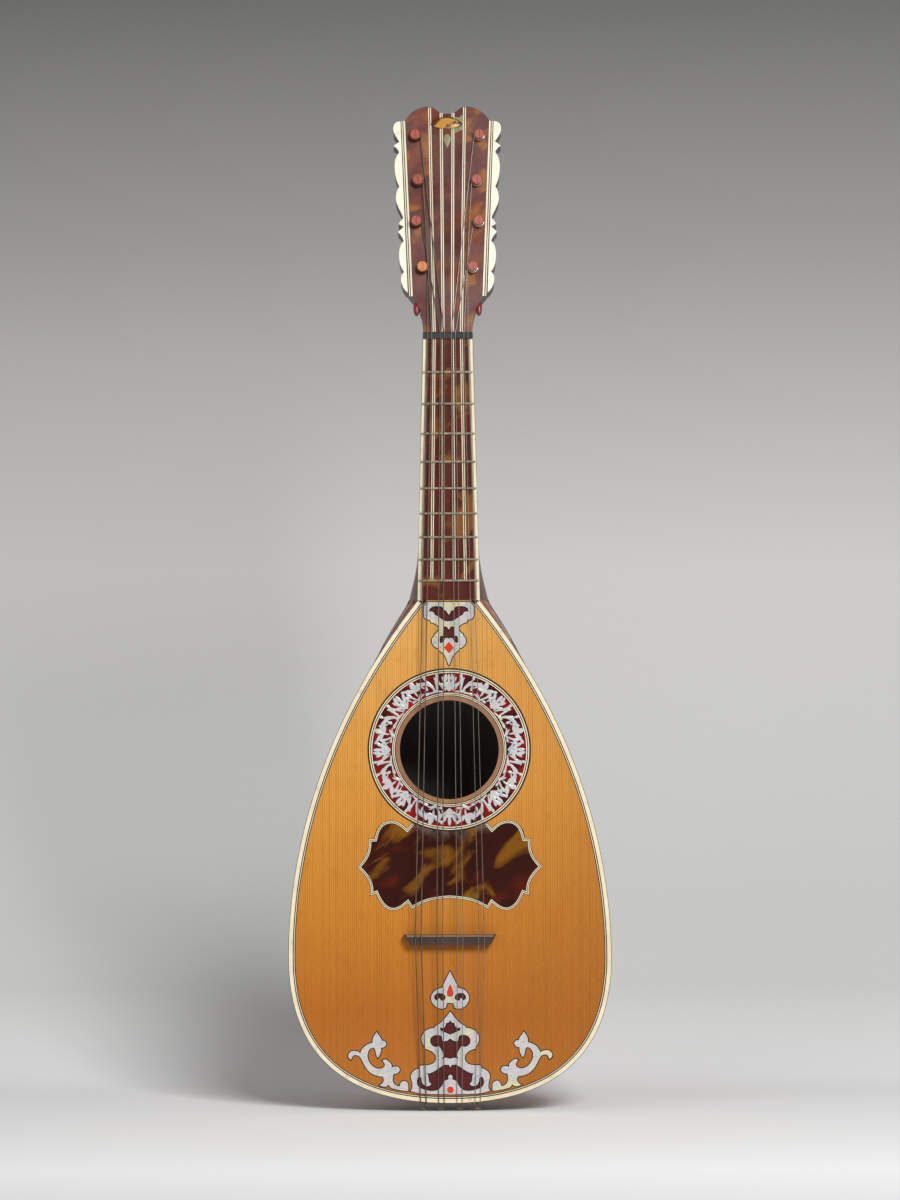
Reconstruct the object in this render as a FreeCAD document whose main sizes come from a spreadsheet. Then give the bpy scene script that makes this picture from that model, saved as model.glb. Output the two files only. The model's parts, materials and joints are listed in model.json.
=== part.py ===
import FreeCAD, Part
import math
import os

from FreeCAD import Placement, Rotation, Vector

# Bowl-back mandolin with four double courses, in millimetres.
# +Z runs up the neck, the soundboard's front is the plane y = 0 and faces -Y, and X goes across.
# The origin is the lowest point of the soundboard's edge, on the plane of symmetry.

doc = FreeCAD.newDocument("Mandolin")
sheet = doc.addObject("Spreadsheet::Sheet", "Sizes")

drivingSizes = {
    # soundboard and its edge; the inlays are drawn for a board of the pattern size
    "board_length": 278.1,
    "pattern_length": 278.1,
    "board_width": 178.8,
    "pattern_width": 178.8,
    "widest_height": 80.5,
    "tail_reach": 65.5,
    "corner_reach": 46.5,
    "side_reach": 55.0,
    "shoulder_reach": 89.5,
    "shoulder_angle": 38.5,
    "board_thickness": 2.6,
    "binding_width": 2.3,
    "purfling_width": 1.6,
    # bowl
    "bowl_depth": 135.0,
    "deepest_height": 95.0,
    "heel_depth": 42.0,
    "back_slope_power": 1.9,
    "shoulder_bulge": 10.0,
    "bulge_length": 80.0,
    "rib_thickness": 1.8,
    "rib_gap": 0.1,
    "clasp_thickness": 1.3,
    "clasp_gap": 0.06,
    "clasp_depth": 26.0,
    "clasp_end_depth": 12.0,
    "clasp_height": 80.0,
    "tail_cut": 5.0,
    "tail_block_height": 18.0,
    "neck_block_length": 28.0,
    "block_clearance": 0.4,
    "lining_width": 5.0,
    "lining_clearance": 1.1,
    "lining_depth": 6.0,
    "brace_width": 6.0,
    "brace_depth": 10.0,
    "lower_brace_height": 146.0,
    "upper_brace_height": 242.0,
    # sound hole and rosette
    "hole_radius": 27.4,
    "hole_setback": 82.6,
    "lip_width": 2.3,
    "inner_lines_width": 1.8,
    "foliage_width": 11.1,
    "outer_lines_width": 2.6,
    "leaf_count": 24,
    "leaf_margin": 0.8,
    "leaf_half_width": 3.4,
    "rosette_depth": 1.0,
    # inlays let into the soundboard
    "inlay_depth": 0.6,
    "pearl_thickness": 0.3,
    "inlay_gap": 0.05,
    "guard_rosette_gap": 0.5,
    "guard_hook_angle": 27.5,
    "ornament_rosette_gap": 1.0,
    "ornament_neck_gap": 0.9,
    "upper_ornament_length": 35.4,
    "trefoil_drop": 40.5,
    "mastic_rim": 0.4,
    "guard_depth": 0.8,
    "guard_line_width": 1.7,
    # neck and fingerboard
    "scale_length": 330.0,
    "fret_count": 9,
    "end_fret": 10,
    "fret_width": 1.0,
    "fret_height": 0.9,
    "fret_side_gap": 0.3,
    "fingerboard_end_width": 34.4,
    "fingerboard_nut_width": 27.2,
    "edge_strip_width": 1.5,
    "stripe_width": 1.3,
    "neck_depth_at_nut": 17.0,
    "neck_depth_at_heel": 20.5,
    "neck_bulge": 1.5,
    "heel_length": 30.0,
    "nut_length": 3.3,
    "nut_height": 1.2,
    # head
    "head_tilt": 15.0,
    "head_length": 132.1,
    "head_thickness": 10.8,
    "head_veneer": 0.8,
    "head_top_half_width": 26.0,
    "head_low_half_width": 22.1,
    "head_low_height": 23.4,
    "head_shoulder_drop": 8.7,
    "head_start": 0.3,
    "scallop_thickness": 1.5,
    "head_border_width": 2.8,
    # pegs
    "peg_radius": 3.0,
    "peg_post_radius": 2.5,
    "peg_clearance": 0.05,
    "peg_protrusion": 5.0,
    "peg_cap": 1.1,
    "peg_tail_length": 31.0,
    "peg_back_gap": 0.6,
    "peg_collar_width": 1.6,
    "peg_slot_width": 0.7,
    "peg_slot_depth": 0.7,
    "peg_blade_width": 15.6,
    "peg_blade_thickness": 5.0,
    # bridge
    "bridge_top_length": 51.0,
    "bridge_tail_length": 44.5,
    "bridge_thickness": 5.6,
    "bridge_height": 7.0,
    "saddle_width": 1.2,
    "saddle_height": 0.8,
    "bridge_clearance": 0.1,
    # strings and hitch pins
    "string_radius_1": 0.32,
    "string_radius_2": 0.26,
    "string_radius_3": 0.2,
    "string_radius_4": 0.18,
    "string_seat": 0.03,
    "saddle_clearance": 0.25,
    "outer_course_at_nut": 10.0,
    "inner_course_at_nut": 3.1,
    "pair_half_gap_at_nut": 1.1,
    "outer_course_at_bridge": 17.5,
    "inner_course_at_bridge": 5.6,
    "pair_half_gap_at_bridge": 1.6,
    "outer_course_at_tail": 15.0,
    "inner_course_at_tail": 5.0,
    "winding_clearance": 0.08,
    "winding_seat": 0.04,
    "winding_wall": 0.03,
    "string_edge_gap": 0.15,
    "hitch_pin_radius": 1.1,
    "hitch_pin_head_radius": 2.0,
    "hitch_pin_head_height": 1.2,
    "hitch_pin_length": 4.0,
    "hitch_pin_setback": 9.0,
}

for row, (alias, value) in enumerate(drivingSizes.items(), start=1):
    cell = "A" + str(row)
    sheet.set(cell, str(value))
    sheet.setAlias(cell, alias)
doc.recompute()


def size(alias):
    return float(sheet.get(alias))


ribCount = 13
bridgeHeight = size("board_length") - size("scale_length") * 2 ** (-size("end_fret") / 12)
nutHeight = bridgeHeight + size("scale_length")
headJoint = nutHeight + size("nut_length")
halfBoard = size("board_width") / 2
neckJointHalf = size("fingerboard_end_width") / 2
nutHalf = size("fingerboard_nut_width") / 2
borderWidth = size("binding_width") + size("purfling_width")
patternScale = size("board_length") / size("pattern_length")
acrossScale = size("board_width") / size("pattern_width")
holeHeight = size("board_length") - size("hole_setback") * patternScale
innerLineRadius = size("hole_radius") + size("lip_width")
foliageInner = innerLineRadius + size("inner_lines_width")
foliageOuter = foliageInner + size("foliage_width")
rosetteRadius = foliageOuter + size("outer_lines_width")
headShoulder = size("head_length") - size("head_shoulder_drop")
boardBack = size("board_thickness")
bowlInset = size("clasp_thickness") + size("clasp_gap")

subparts = []


# ---- shared helpers ----


def keep(label, thing):
    thing.Label = label
    subparts.append(thing)
    return thing


def originPlane(body, role):
    return [feature for feature in body.Origin.OriginFeatures if feature.Role == role][0]


def addSketch(body, name, geometry, role="XZ_Plane", lift=0.0):
    sketch = body.newObject("Sketcher::SketchObject", name)
    sketch.AttachmentSupport = [(originPlane(body, role), "")]
    sketch.MapMode = "FlatFace"
    sketch.AttachmentOffset = Placement(Vector(0, 0, lift), Rotation())
    sketch.addGeometry(geometry, False)
    return sketch


def addPad(body, sketch, length, backwards):
    pad = body.newObject("PartDesign::Pad", sketch.Name + "Pad")
    pad.Profile = sketch
    pad.setExpression("Length", length)
    pad.Reversed = backwards
    sketch.Visibility = False
    return pad


def plateBody(name, geometry, thickness, front="0"):
    """A plate parallel to the soundboard, running back from the depth given by front."""
    body = doc.addObject("PartDesign::Body", name)
    body.AllowCompound = True
    sketch = addSketch(body, name + "Outline", geometry)
    addPad(body, sketch, thickness, True)
    body.setExpression("Placement.Base.y", front)
    return body


def compoundOf(name, things):
    compound = doc.addObject("Part::Compound", name)
    compound.Links = things
    return compound


def cutFrom(name, base, tools):
    cut = doc.addObject("Part::Cut", name)
    cut.Base = base
    cut.Tool = tools[0] if len(tools) == 1 else compoundOf(name + "Tools", tools)
    return cut


def commonOf(name, base, tool):
    common = doc.addObject("Part::Common", name)
    common.Base = base
    common.Tool = tool
    return common


def shapeFeature(name, shape):
    feature = doc.addObject("Part::Feature", name)
    feature.Shape = shape
    return feature


def flat(x, z):
    """A sketch point: sketches on the XZ plane use x across and z up."""
    return Vector(x, z, 0)


def stretchEdge(points):
    if len(points) == 2:
        return Part.LineSegment(points[0], points[1])
    curve = Part.BSplineCurve()
    curve.interpolate(points)
    return curve


# An outline is a list of stretches. Each stretch is a list of (x, z) pairs, smooth inside and
# meeting the next one at a corner. A half outline runs up the right side and is mirrored.


def mirroredOutline(halfStretches):
    left = [[(-x, z) for x, z in reversed(stretch)] for stretch in reversed(halfStretches)]
    return halfStretches + left


def mirroredCopy(stretches):
    return [[(-x, z) for x, z in reversed(stretch)] for stretch in reversed(stretches)]


def grownOutline(stretches, distance):
    """Moves every point of a closed outline outward along the bisector of its two neighbours."""
    ring = [point for stretch in stretches for point in stretch[:-1]]
    area = sum(a[0] * b[1] - b[0] * a[1] for a, b in zip(ring, ring[1:] + ring[:1]))
    turn = 1 if area > 0 else -1
    moved = []
    for index, point in enumerate(ring):
        before = unitBetween(ring[index - 1], point)
        after = unitBetween(point, ring[(index + 1) % len(ring)])
        normal = ((before[1] + after[1]) * turn, -(before[0] + after[0]) * turn)
        length = max(math.hypot(*normal), 0.9)
        share = 2 * distance / length ** 2
        moved.append((point[0] + normal[0] * share, point[1] + normal[1] * share))
    result = []
    start = 0
    for stretch in stretches:
        last = start + len(stretch) - 1
        result.append([moved[index % len(ring)] for index in range(start, last + 1)])
        start = last
    return result


def unitBetween(first, second):
    dx = second[0] - first[0]
    dz = second[1] - first[1]
    length = math.hypot(dx, dz)
    return (dx / length, dz / length)


def outlineGeometry(stretches):
    return [stretchEdge([flat(x, z) for x, z in stretch]) for stretch in stretches]


def stripOutline(lowLeft, lowRight, highLeft, highRight, low, high):
    corners = [(lowLeft, low), (lowRight, low), (highRight, high), (highLeft, high)]
    return [[a, b] for a, b in zip(corners, corners[1:] + corners[:1])]


def circleGeometry(centreZ, radius):
    return Part.Circle(flat(0, centreZ), Vector(0, 0, 1), radius)


# ---- outline of the soundboard: two cubic curves a side, from the tail to the neck ----

shoulderAngle = math.radians(size("shoulder_angle"))
widest = size("widest_height") * patternScale
tailCurve = [
    (0.0, 0.0),
    (size("tail_reach") * acrossScale, 0.0),
    (halfBoard, widest - size("corner_reach") * patternScale),
    (halfBoard, widest),
]
shoulderCurve = [
    (halfBoard, widest),
    (halfBoard, widest + size("side_reach") * patternScale),
    (
        neckJointHalf + size("shoulder_reach") * math.sin(shoulderAngle),
        size("board_length") - size("shoulder_reach") * math.cos(shoulderAngle),
    ),
    (neckJointHalf, size("board_length")),
]


def cubicPoint(curve, share):
    """Point and direction on a cubic curve, share going from 0 to 1."""
    rest = 1 - share
    weights = (rest ** 3, 3 * share * rest ** 2, 3 * share ** 2 * rest, share ** 3)
    early = 3 * rest ** 2
    mixed = 6 * share * rest
    late = 3 * share ** 2
    slopes = (-early, early - mixed, mixed - late, late)
    x = sum(weight * point[0] for weight, point in zip(weights, curve))
    z = sum(weight * point[1] for weight, point in zip(weights, curve))
    dx = sum(slope * point[0] for slope, point in zip(slopes, curve))
    dz = sum(slope * point[1] for slope, point in zip(slopes, curve))
    return x, z, dx, dz


def edgePoint(place, inset):
    """Point on the soundboard's right edge moved inward; place is 0 at the tail, 2 at the neck."""
    curve = tailCurve if place < 1 else shoulderCurve
    x, z, dx, dz = cubicPoint(curve, place if place < 1 else place - 1)
    length = math.hypot(dx, dz)
    return x - inset * dz / length, z + inset * dx / length


def placeAtHeight(height, inset):
    low = 0.0
    high = 2.3
    for step in range(60):
        middle = (low + high) / 2
        if edgePoint(middle, inset)[1] < height:
            low = middle
        else:
            high = middle
    return low


def halfWidth(height, inset):
    return edgePoint(placeAtHeight(height, inset), inset)[0]


def edgeHeight(across):
    """Height of the soundboard's tail edge at a distance from the middle."""
    low = 0.0
    high = 1.0
    for step in range(50):
        middle = (low + high) / 2
        if edgePoint(middle, 0)[0] < abs(across):
            low = middle
        else:
            high = middle
    return edgePoint(low, 0)[1]


def edgeCurvePoints(inset, top):
    end = placeAtHeight(top, inset)
    steps = 26
    places = [end * step / steps for step in range(steps + 1)]
    return [edgePoint(place, inset) for place in places]


def boardOutline(inset, top):
    right = edgeCurvePoints(inset, top)
    left = [(-x, z) for x, z in reversed(right[1:])]
    return [left + right, [right[-1], left[0]]]


def edgeBand(outer, inner, top):
    """A band along the board's edge, open at the neck."""
    outside = edgeCurvePoints(outer, top)
    inside = edgeCurvePoints(inner, top)
    outsideLeft = [(-x, z) for x, z in reversed(outside[1:])]
    insideLeft = [(-x, z) for x, z in inside[1:]]
    outerPath = outsideLeft + outside
    innerPath = list(reversed(inside)) + insideLeft
    return [outerPath, [outerPath[-1], innerPath[0]], innerPath, [innerPath[-1], outerPath[0]]]


# ---- soundboard with its hole, rosette and inlays ----


def drawn(base, stretches):
    """A pattern drawn from its own base line, scaled with the board and lifted to its place."""
    return [[(x * acrossScale, base + z * patternScale) for x, z in stretch] for stretch in stretches]


def rimPoint(angle):
    """A point just outside the rosette's rim, at an angle from its lowest point."""
    rim = rosetteRadius + size("guard_rosette_gap")
    return (rim * math.sin(angle), holeHeight - rim * math.cos(angle))


def pickguardOutline():
    """Lobed guard below the rosette, whose upper middle follows the rosette's rim."""
    hook = math.radians(size("guard_hook_angle"))
    half = drawn(holeHeight - rosetteRadius, [
        [(0, -36.9), (5.7, -37.4), (14.0, -39.3), (21.3, -43.0)],
        [(21.3, -43.0), (23.3, -39.7)],
        [(23.3, -39.7), (27.0, -42.4), (32.3, -43.6), (38.1, -39.5), (40.9, -34.3)],
        [(40.9, -34.3), (44.0, -35.6)],
        [(44.0, -35.6), (44.0, -30.3), (46.5, -24.7), (51.3, -19.5)],
        [(51.3, -19.5), (47.0, -14.3), (45.0, -8.8), (44.9, -3.9)],
        [(44.9, -3.9), (41.6, -3.8)],
        [(41.6, -3.8), (38.0, 4.0), (32.6, 6.2), (27.6, 5.0), (23.5, 1.8)],
    ])
    half.append([half[-1][-1], rimPoint(hook)])
    half.append([rimPoint(hook * share) for share in (1, 0.66, 0.33, 0)])
    full = mirroredOutline(half)
    middle = len(half)
    joined = full[middle - 1] + full[middle][1:]
    return full[: middle - 1] + [joined] + full[middle + 1:]


# The upper ornament is drawn downward from its straight top edge, and fills the room above the rosette.


def hung(stretches):
    top = size("board_length") - size("ornament_neck_gap")
    tip = holeHeight + rosetteRadius + size("mastic_rim") + size("ornament_rosette_gap")
    stretch = (top - tip) / size("upper_ornament_length")
    return [[(x, top - drop * stretch) for x, drop in run] for run in stretches]


def upperOrnamentOutline():
    return mirroredOutline(hung([
        [(0, 35.4), (0.7, 33.8), (1.6, 31.2), (3.3, 28.6), (5.5, 26.9)],
        [(5.5, 26.9), (5.6, 25.8)],
        [(5.6, 25.8), (7.9, 24.9), (9.3, 22.7), (9.2, 20.4), (7.9, 18.8)],
        [(7.9, 18.8), (7.8, 17.7)],
        [(7.8, 17.7), (6.1, 16.4), (5.5, 14.8), (6.1, 13.3), (7.9, 12.0), (9.9, 11.4)],
        [(9.9, 11.4), (10.4, 9.8)],
        [(10.4, 9.8), (12.9, 9.2), (13.8, 7.4)],
        [(13.8, 7.4), (13.8, 2.6)],
        [(13.8, 2.6), (12.0, 0)],
        [(12.0, 0), (0, 0)],
    ]))


def upperOrnamentOpenings():
    wing = mirroredOutline(hung([
        [(0, 10.7), (3.2, 10.0), (5.9, 8.1), (7.8, 7.2)],
        [(7.8, 7.2), (8.4, 5.9), (9.6, 5.3), (10.8, 5.4)],
        [(10.8, 5.4), (10.4, 3.6), (8.9, 2.6), (6.1, 2.3), (3.5, 2.9), (2.7, 4.5)],
        [(2.7, 4.5), (1.4, 4.8)],
        [(1.4, 4.8), (0, 7.2)],
    ]))
    vase = mirroredOutline(hung([
        [(0, 20.6), (1.4, 20.0), (2.4, 20.6)],
        [(2.4, 20.6), (3.4, 22.4), (4.6, 22.8), (5.1, 21.0), (4.4, 18.8)],
        [(4.4, 18.8), (3.2, 18.8)],
        [(3.2, 18.8), (3.0, 16.5), (3.1, 13.7)],
        [(3.1, 13.7), (1.3, 13.6)],
        [(1.3, 13.6), (0, 15.4)],
    ]))
    diamond = mirroredOutline(hung([
        [(0, 28.5), (2.5, 25.2)],
        [(2.5, 25.2), (0, 22.4)],
    ]))
    return [wing, vase, diamond]


def trefoilBase():
    return bridgeHeight - size("trefoil_drop") * patternScale


def trefoilOutline():
    return mirroredOutline(drawn(trefoilBase(), [
        [(0, 3.2), (1.8, 3.0)],
        [(1.8, 3.0), (2.3, 0.7)],
        [(2.3, 0.7), (5.0, 0), (9.2, 2.3), (10.5, 6.2), (8.8, 9.6), (6.4, 11.0)],
        [(6.4, 11.0), (4.4, 11.5)],
        [(4.4, 11.5), (2.5, 15.8), (0, 20.6)],
    ]))


def trefoilOpenings():
    drop = mirroredOutline(drawn(trefoilBase(), [[(0, 6.6), (1.5, 7.3), (1.7, 9.2), (0, 13.6)]]))
    bean = drawn(trefoilBase(), [
        [(5.5, 8.5), (8.0, 7.9), (8.8, 6.2), (7.3, 4.6)],
        [(7.3, 4.6), (5.7, 6.0)],
        [(5.7, 6.0), (4.2, 4.4), (2.8, 5.2), (2.6, 6.7)],
        [(2.6, 6.7), (3.8, 8.2), (5.5, 8.5)],
    ])
    return [drop, bean, mirroredCopy(bean)]


def lowerOrnamentOutline():
    return mirroredOutline(drawn(0, [
        [(0, 4.9), (9.1, 5.1), (18.3, 5.9), (22.0, 7.0)],
        [(22.0, 7.0), (21.5, 12.8), (21.8, 15.5), (20.1, 18.1), (17.3, 19.2)],
        [(17.3, 19.2), (17.0, 20.8)],
        [(17.0, 20.8), (11.9, 21.3), (9.2, 22.4), (8.0, 24.7), (8.5, 27.0), (10.8, 29.1), (13.9, 30.2)],
        [(13.9, 30.2), (14.1, 31.3)],
        [(14.1, 31.3), (15.4, 33.4), (15.9, 36.2), (14.4, 39.4), (11.7, 41.2), (8.7, 41.7)],
        [(8.7, 41.7), (8.3, 42.7)],
        [(8.3, 42.7), (5.8, 44.2), (3.2, 46.7), (0, 50.8)],
    ]))


def lowerOrnamentOpenings():
    crown = mirroredOutline(drawn(0, [
        [(0, 38.0), (1.2, 38.5), (3.2, 39.4), (5.5, 40.3)],
        [(5.5, 40.3), (5.6, 41.9)],
        [(5.6, 41.9), (3.9, 41.7)],
        [(3.9, 41.7), (2.8, 42.6), (2.4, 44.4)],
        [(2.4, 44.4), (1.3, 44.6), (0, 46.0)],
    ]))
    vase = mirroredOutline(drawn(0, [
        [(0, 24.6), (2.4, 25.2), (4.6, 24.8)],
        [(4.6, 24.8), (3.8, 26.6), (4.4, 28.8), (6.4, 31.8)],
        [(6.4, 31.8), (9.3, 31.6), (11.1, 34.0), (10.6, 36.4), (8.0, 37.8), (4.8, 37.2)],
        [(4.8, 37.2), (4.1, 34.3)],
        [(4.1, 34.3), (1.8, 34.6)],
        [(1.8, 34.6), (0, 35.9)],
    ]))
    moustache = mirroredOutline(drawn(0, [
        [(0, 16.0), (1.2, 14.7), (0.9, 13.4)],
        [(0.9, 13.4), (3.7, 12.3)],
        [
            (3.7, 12.3), (4.7, 9.8), (6.8, 7.6), (10.4, 6.9),
            (14.6, 7.7), (18.0, 9.8), (18.5, 12.8), (17.4, 14.9),
        ],
        [(17.4, 14.9), (15.9, 14.2)],
        [(15.9, 14.2), (15.6, 11.6), (14.2, 9.9), (12.2, 9.6), (10.6, 11.0)],
        [(10.6, 11.0), (11.9, 12.4), (12.1, 14.4), (13.0, 16.5)],
        [(13.0, 16.5), (9.1, 17.7), (6.0, 19.7), (3.2, 21.4)],
        [(3.2, 21.4), (0.9, 21.3)],
        [(0.9, 21.3), (0, 19.9)],
    ]))
    return [crown, vase, moustache]


def scrollOutline():
    """Curled branch to the right of the lower ornament, with a flower at each end and a leaf outside."""
    return drawn(0, [
        [(54.7, 24.4), (56.3, 27.1), (54.7, 28.9), (51.6, 29.0), (49.7, 27.9)],
        [(49.7, 27.9), (48.1, 31.0), (45.6, 32.8), (42.9, 33.7)],
        [(42.9, 33.7), (42.7, 36.2), (41.5, 38.5), (40.6, 39.6)],
        [(40.6, 39.6), (39.6, 38.0), (38.4, 36.2), (37.8, 34.7)],
        [(37.8, 34.7), (36.2, 34.5), (35.4, 32.9), (36.6, 31.3), (38.3, 31.0)],
        [(38.3, 31.0), (38.4, 28.8), (39.1, 26.9), (40.1, 25.4)],
        [(40.1, 25.4), (41.0, 27.2), (41.4, 29.2), (42.4, 31.0)],
        [
            (42.4, 31.0), (44.0, 30.5), (45.4, 28.7), (45.8, 26.2),
            (45.0, 23.4), (42.7, 20.6), (39.8, 19.3), (37.4, 19.8),
        ],
        [(37.4, 19.8), (36.2, 21.2), (36.6, 22.6), (37.5, 23.7)],
        [(37.5, 23.7), (35.9, 24.4), (34.2, 23.4), (32.7, 21.8), (32.5, 19.9)],
        [(32.5, 19.9), (30.7, 20.5), (28.7, 20.1), (28.0, 18.5), (28.9, 17.1), (31.3, 16.6)],
        [(31.3, 16.6), (31.9, 13.6), (31.4, 11.4), (29.9, 10.0), (27.9, 9.6)],
        [(27.9, 9.6), (27.7, 11.0), (26.2, 12.4), (24.2, 11.9), (23.3, 10.0)],
        [(23.3, 10.0), (23.3, 7.0)],
        [(23.3, 7.0), (26.4, 7.2), (29.6, 7.8), (32.8, 8.7)],
        [(32.8, 8.7), (34.4, 10.6)],
        [(34.4, 10.6), (35.6, 9.5), (37.4, 9.5), (39.2, 10.3)],
        [(39.2, 10.3), (37.8, 11.1), (36.9, 12.6), (37.5, 14.9)],
        [
            (37.5, 14.9), (40.2, 15.3), (43.8, 16.9), (46.6, 19.8),
            (48.5, 23.2), (50.2, 26.0), (52.2, 26.9), (54.7, 24.4),
        ],
    ])


pearlOutlines = {
    "upper_ornament": (upperOrnamentOutline(), upperOrnamentOpenings()),
    "trefoil_ornament": (trefoilOutline(), trefoilOpenings()),
    "lower_ornament": (lowerOrnamentOutline(), lowerOrnamentOpenings()),
    "scroll_ornaments": (scrollOutline(), []),
}


def ornamentSites():
    """Outlines of the five pearl pieces, without their openings."""
    sites = [outline for outline, openings in pearlOutlines.values()]
    return sites + [mirroredCopy(scrollOutline())]


def makeSoundboard():
    geometry = outlineGeometry(boardOutline(borderWidth, size("board_length")))
    geometry.append(circleGeometry(holeHeight, size("hole_radius")))
    board = plateBody("BoardPlate", geometry, "Sizes.board_thickness")
    rings = [
        circleGeometry(holeHeight, rosetteRadius),
        circleGeometry(holeHeight, innerLineRadius),
    ]
    recess = plateBody("RosetteRecess", rings, "Sizes.rosette_depth")
    gap = size("inlay_gap")
    guard = outlineGeometry(grownOutline(pickguardOutline(), gap))
    tools = [recess, plateBody("GuardRecess", guard, "Sizes.guard_depth")]
    for number, outline in enumerate(ornamentSites()):
        grown = outlineGeometry(grownOutline(outline, size("mastic_rim") + gap))
        tools.append(plateBody("OrnamentRecess" + str(number), grown, "Sizes.inlay_depth"))
    keep("soundboard", cutFrom("Soundboard", board, tools))


def makeEdge():
    top = size("board_length")
    binding = outlineGeometry(edgeBand(0, size("binding_width"), top))
    keep("edge_binding", plateBody("EdgeBinding", binding, "Sizes.board_thickness"))
    gap = size("inlay_gap")
    purfling = outlineGeometry(edgeBand(size("binding_width") + gap, borderWidth - gap, top))
    keep("edge_purfling", plateBody("EdgePurfling", purfling, "Sizes.board_thickness"))


def ring(name, outer, inner, thickness, front):
    height = holeHeight
    geometry = [circleGeometry(height, outer), circleGeometry(height, inner)]
    return plateBody(name, geometry, thickness, front)


def foliageLeaf(angle, inner, outer, spread):
    """One leaf of the rosette, pointing outward at an angle round the hole; it is widest near its foot."""
    wide = inner + (outer - inner) * 0.35
    narrow = inner + (outer - inner) * 0.73

    def turned(radius, across):
        x = radius * math.sin(angle) + across * math.cos(angle)
        z = radius * math.cos(angle) - across * math.sin(angle)
        return (x, holeHeight + z)

    return [
        [turned(inner, 0), turned(wide, spread), turned(narrow, spread * 0.8), turned(outer, 0)],
        [turned(outer, 0), turned(narrow, -spread * 0.8), turned(wide, -spread), turned(inner, 0)],
    ]


def makeRosette():
    gap = size("inlay_gap")
    lines = [
        ring("OuterLines", rosetteRadius - gap, foliageOuter, "Sizes.rosette_depth", "0"),
        ring("InnerLines", foliageInner, innerLineRadius + gap, "Sizes.rosette_depth", "0"),
    ]
    keep("rosette_lines", compoundOf("RosetteLines", lines))
    ground = ring(
        "RosetteGround", foliageOuter - gap, foliageInner + gap,
        "Sizes.rosette_depth - Sizes.pearl_thickness", "Sizes.pearl_thickness",
    )
    keep("rosette_ground", ground)
    leafCount = int(size("leaf_count"))
    margin = size("leaf_margin")
    geometry = []
    for number in range(leafCount):
        angle = 2 * math.pi * number / leafCount
        leaf = foliageLeaf(angle, foliageInner + margin, foliageOuter - margin, size("leaf_half_width"))
        geometry += outlineGeometry(leaf)
    keep("rosette_pearl", plateBody("RosettePearl", geometry, "Sizes.pearl_thickness"))


def makePickguard():
    outline = pickguardOutline()
    field = grownOutline(outline, -size("guard_line_width"))
    geometry = outlineGeometry(grownOutline(field, -size("inlay_gap")))
    keep("pickguard", plateBody("Pickguard", geometry, "Sizes.guard_depth"))
    border = outlineGeometry(outline) + outlineGeometry(field)
    keep("pickguard_border", plateBody("PickguardBorder", border, "Sizes.guard_depth"))


def makeOrnaments():
    for label, (outline, openings) in pearlOutlines.items():
        geometry = outlineGeometry(outline)
        for opening in openings:
            geometry += outlineGeometry(opening)
        if label == "scroll_ornaments":
            geometry += outlineGeometry(mirroredCopy(outline))
        keep(label, plateBody(label.title().replace("_", ""), geometry, "Sizes.pearl_thickness"))
    grounds = []
    for number, outline in enumerate(ornamentSites()):
        geometry = outlineGeometry(grownOutline(outline, size("mastic_rim")))
        grounds.append(plateBody(
            "OrnamentGround" + str(number), geometry,
            "Sizes.inlay_depth - Sizes.pearl_thickness", "Sizes.pearl_thickness",
        ))
    keep("ornament_grounds", compoundOf("OrnamentGrounds", grounds))


# ---- bowl ----


def bowlDepth(height, inset):
    """Depth of the bowl at a height: a quarter ellipse below the deepest point, a power above it."""
    deepest = size("deepest_height")
    full = size("bowl_depth") - inset
    if height < deepest:
        share = (deepest - height) / (deepest - inset)
        return full * math.sqrt(max(1 - share ** 2, 0))
    share = (height - deepest) / (size("board_length") - deepest)
    drop = size("bowl_depth") - size("heel_depth")
    return full - drop * share ** size("back_slope_power")


def bulgeAt(height):
    share = 1 - (size("board_length") - height) / size("bulge_length")
    share = min(max(share, 0), 1)
    return size("shoulder_bulge") * share ** 2 * (3 - 2 * share)


def bowlPoint(half, depth, bulge, angle):
    """Point of a bowl section: an ellipse whose sides swell by the bulge; angle 0 is the +X edge."""
    x = math.cos(angle) * (half + 2 * bulge * math.sin(angle))
    y = boardBack + (depth - boardBack) * math.sin(angle)
    return (x, y)


def bowlSection(height, inset):
    return (halfWidth(height, inset), bowlDepth(height, inset), bulgeAt(height))


def sectionPoints(section, steps=12):
    return [bowlPoint(*section, math.pi * step / steps) for step in range(steps + 1)]


def ribAngles():
    """Angles that divide the widest section into ribs of equal girth."""
    section = bowlSection(size("deepest_height"), bowlInset)
    fine = sectionPoints(section, 720)
    girth = [0.0]
    for first, second in zip(fine, fine[1:]):
        girth.append(girth[-1] + math.dist(first, second))
    angles = []
    for number in range(ribCount + 1):
        wanted = girth[-1] * number / ribCount
        misses = [abs(place - wanted) for place in girth]
        angles.append(math.pi * misses.index(min(misses)) / 720)
    return angles


def shifted(first, second, distance):
    """The first point moved towards the second."""
    share = distance / math.dist(first, second)
    return tuple(a + (b - a) * share for a, b in zip(first, second))


def ribWire(height, angleA, angleB):
    outer = bowlSection(height, bowlInset)
    inner = bowlSection(height, bowlInset + size("rib_thickness"))
    halfGap = size("rib_gap") / 2
    outerA, outerB = bowlPoint(*outer, angleA), bowlPoint(*outer, angleB)
    innerA, innerB = bowlPoint(*inner, angleA), bowlPoint(*inner, angleB)
    corners = [
        shifted(outerA, outerB, halfGap),
        shifted(outerB, outerA, halfGap),
        shifted(innerB, innerA, halfGap),
        shifted(innerA, innerB, halfGap),
    ]
    points = [Vector(x, y, height) for x, y in corners]
    return Part.makePolygon(points + points[:1])


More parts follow.
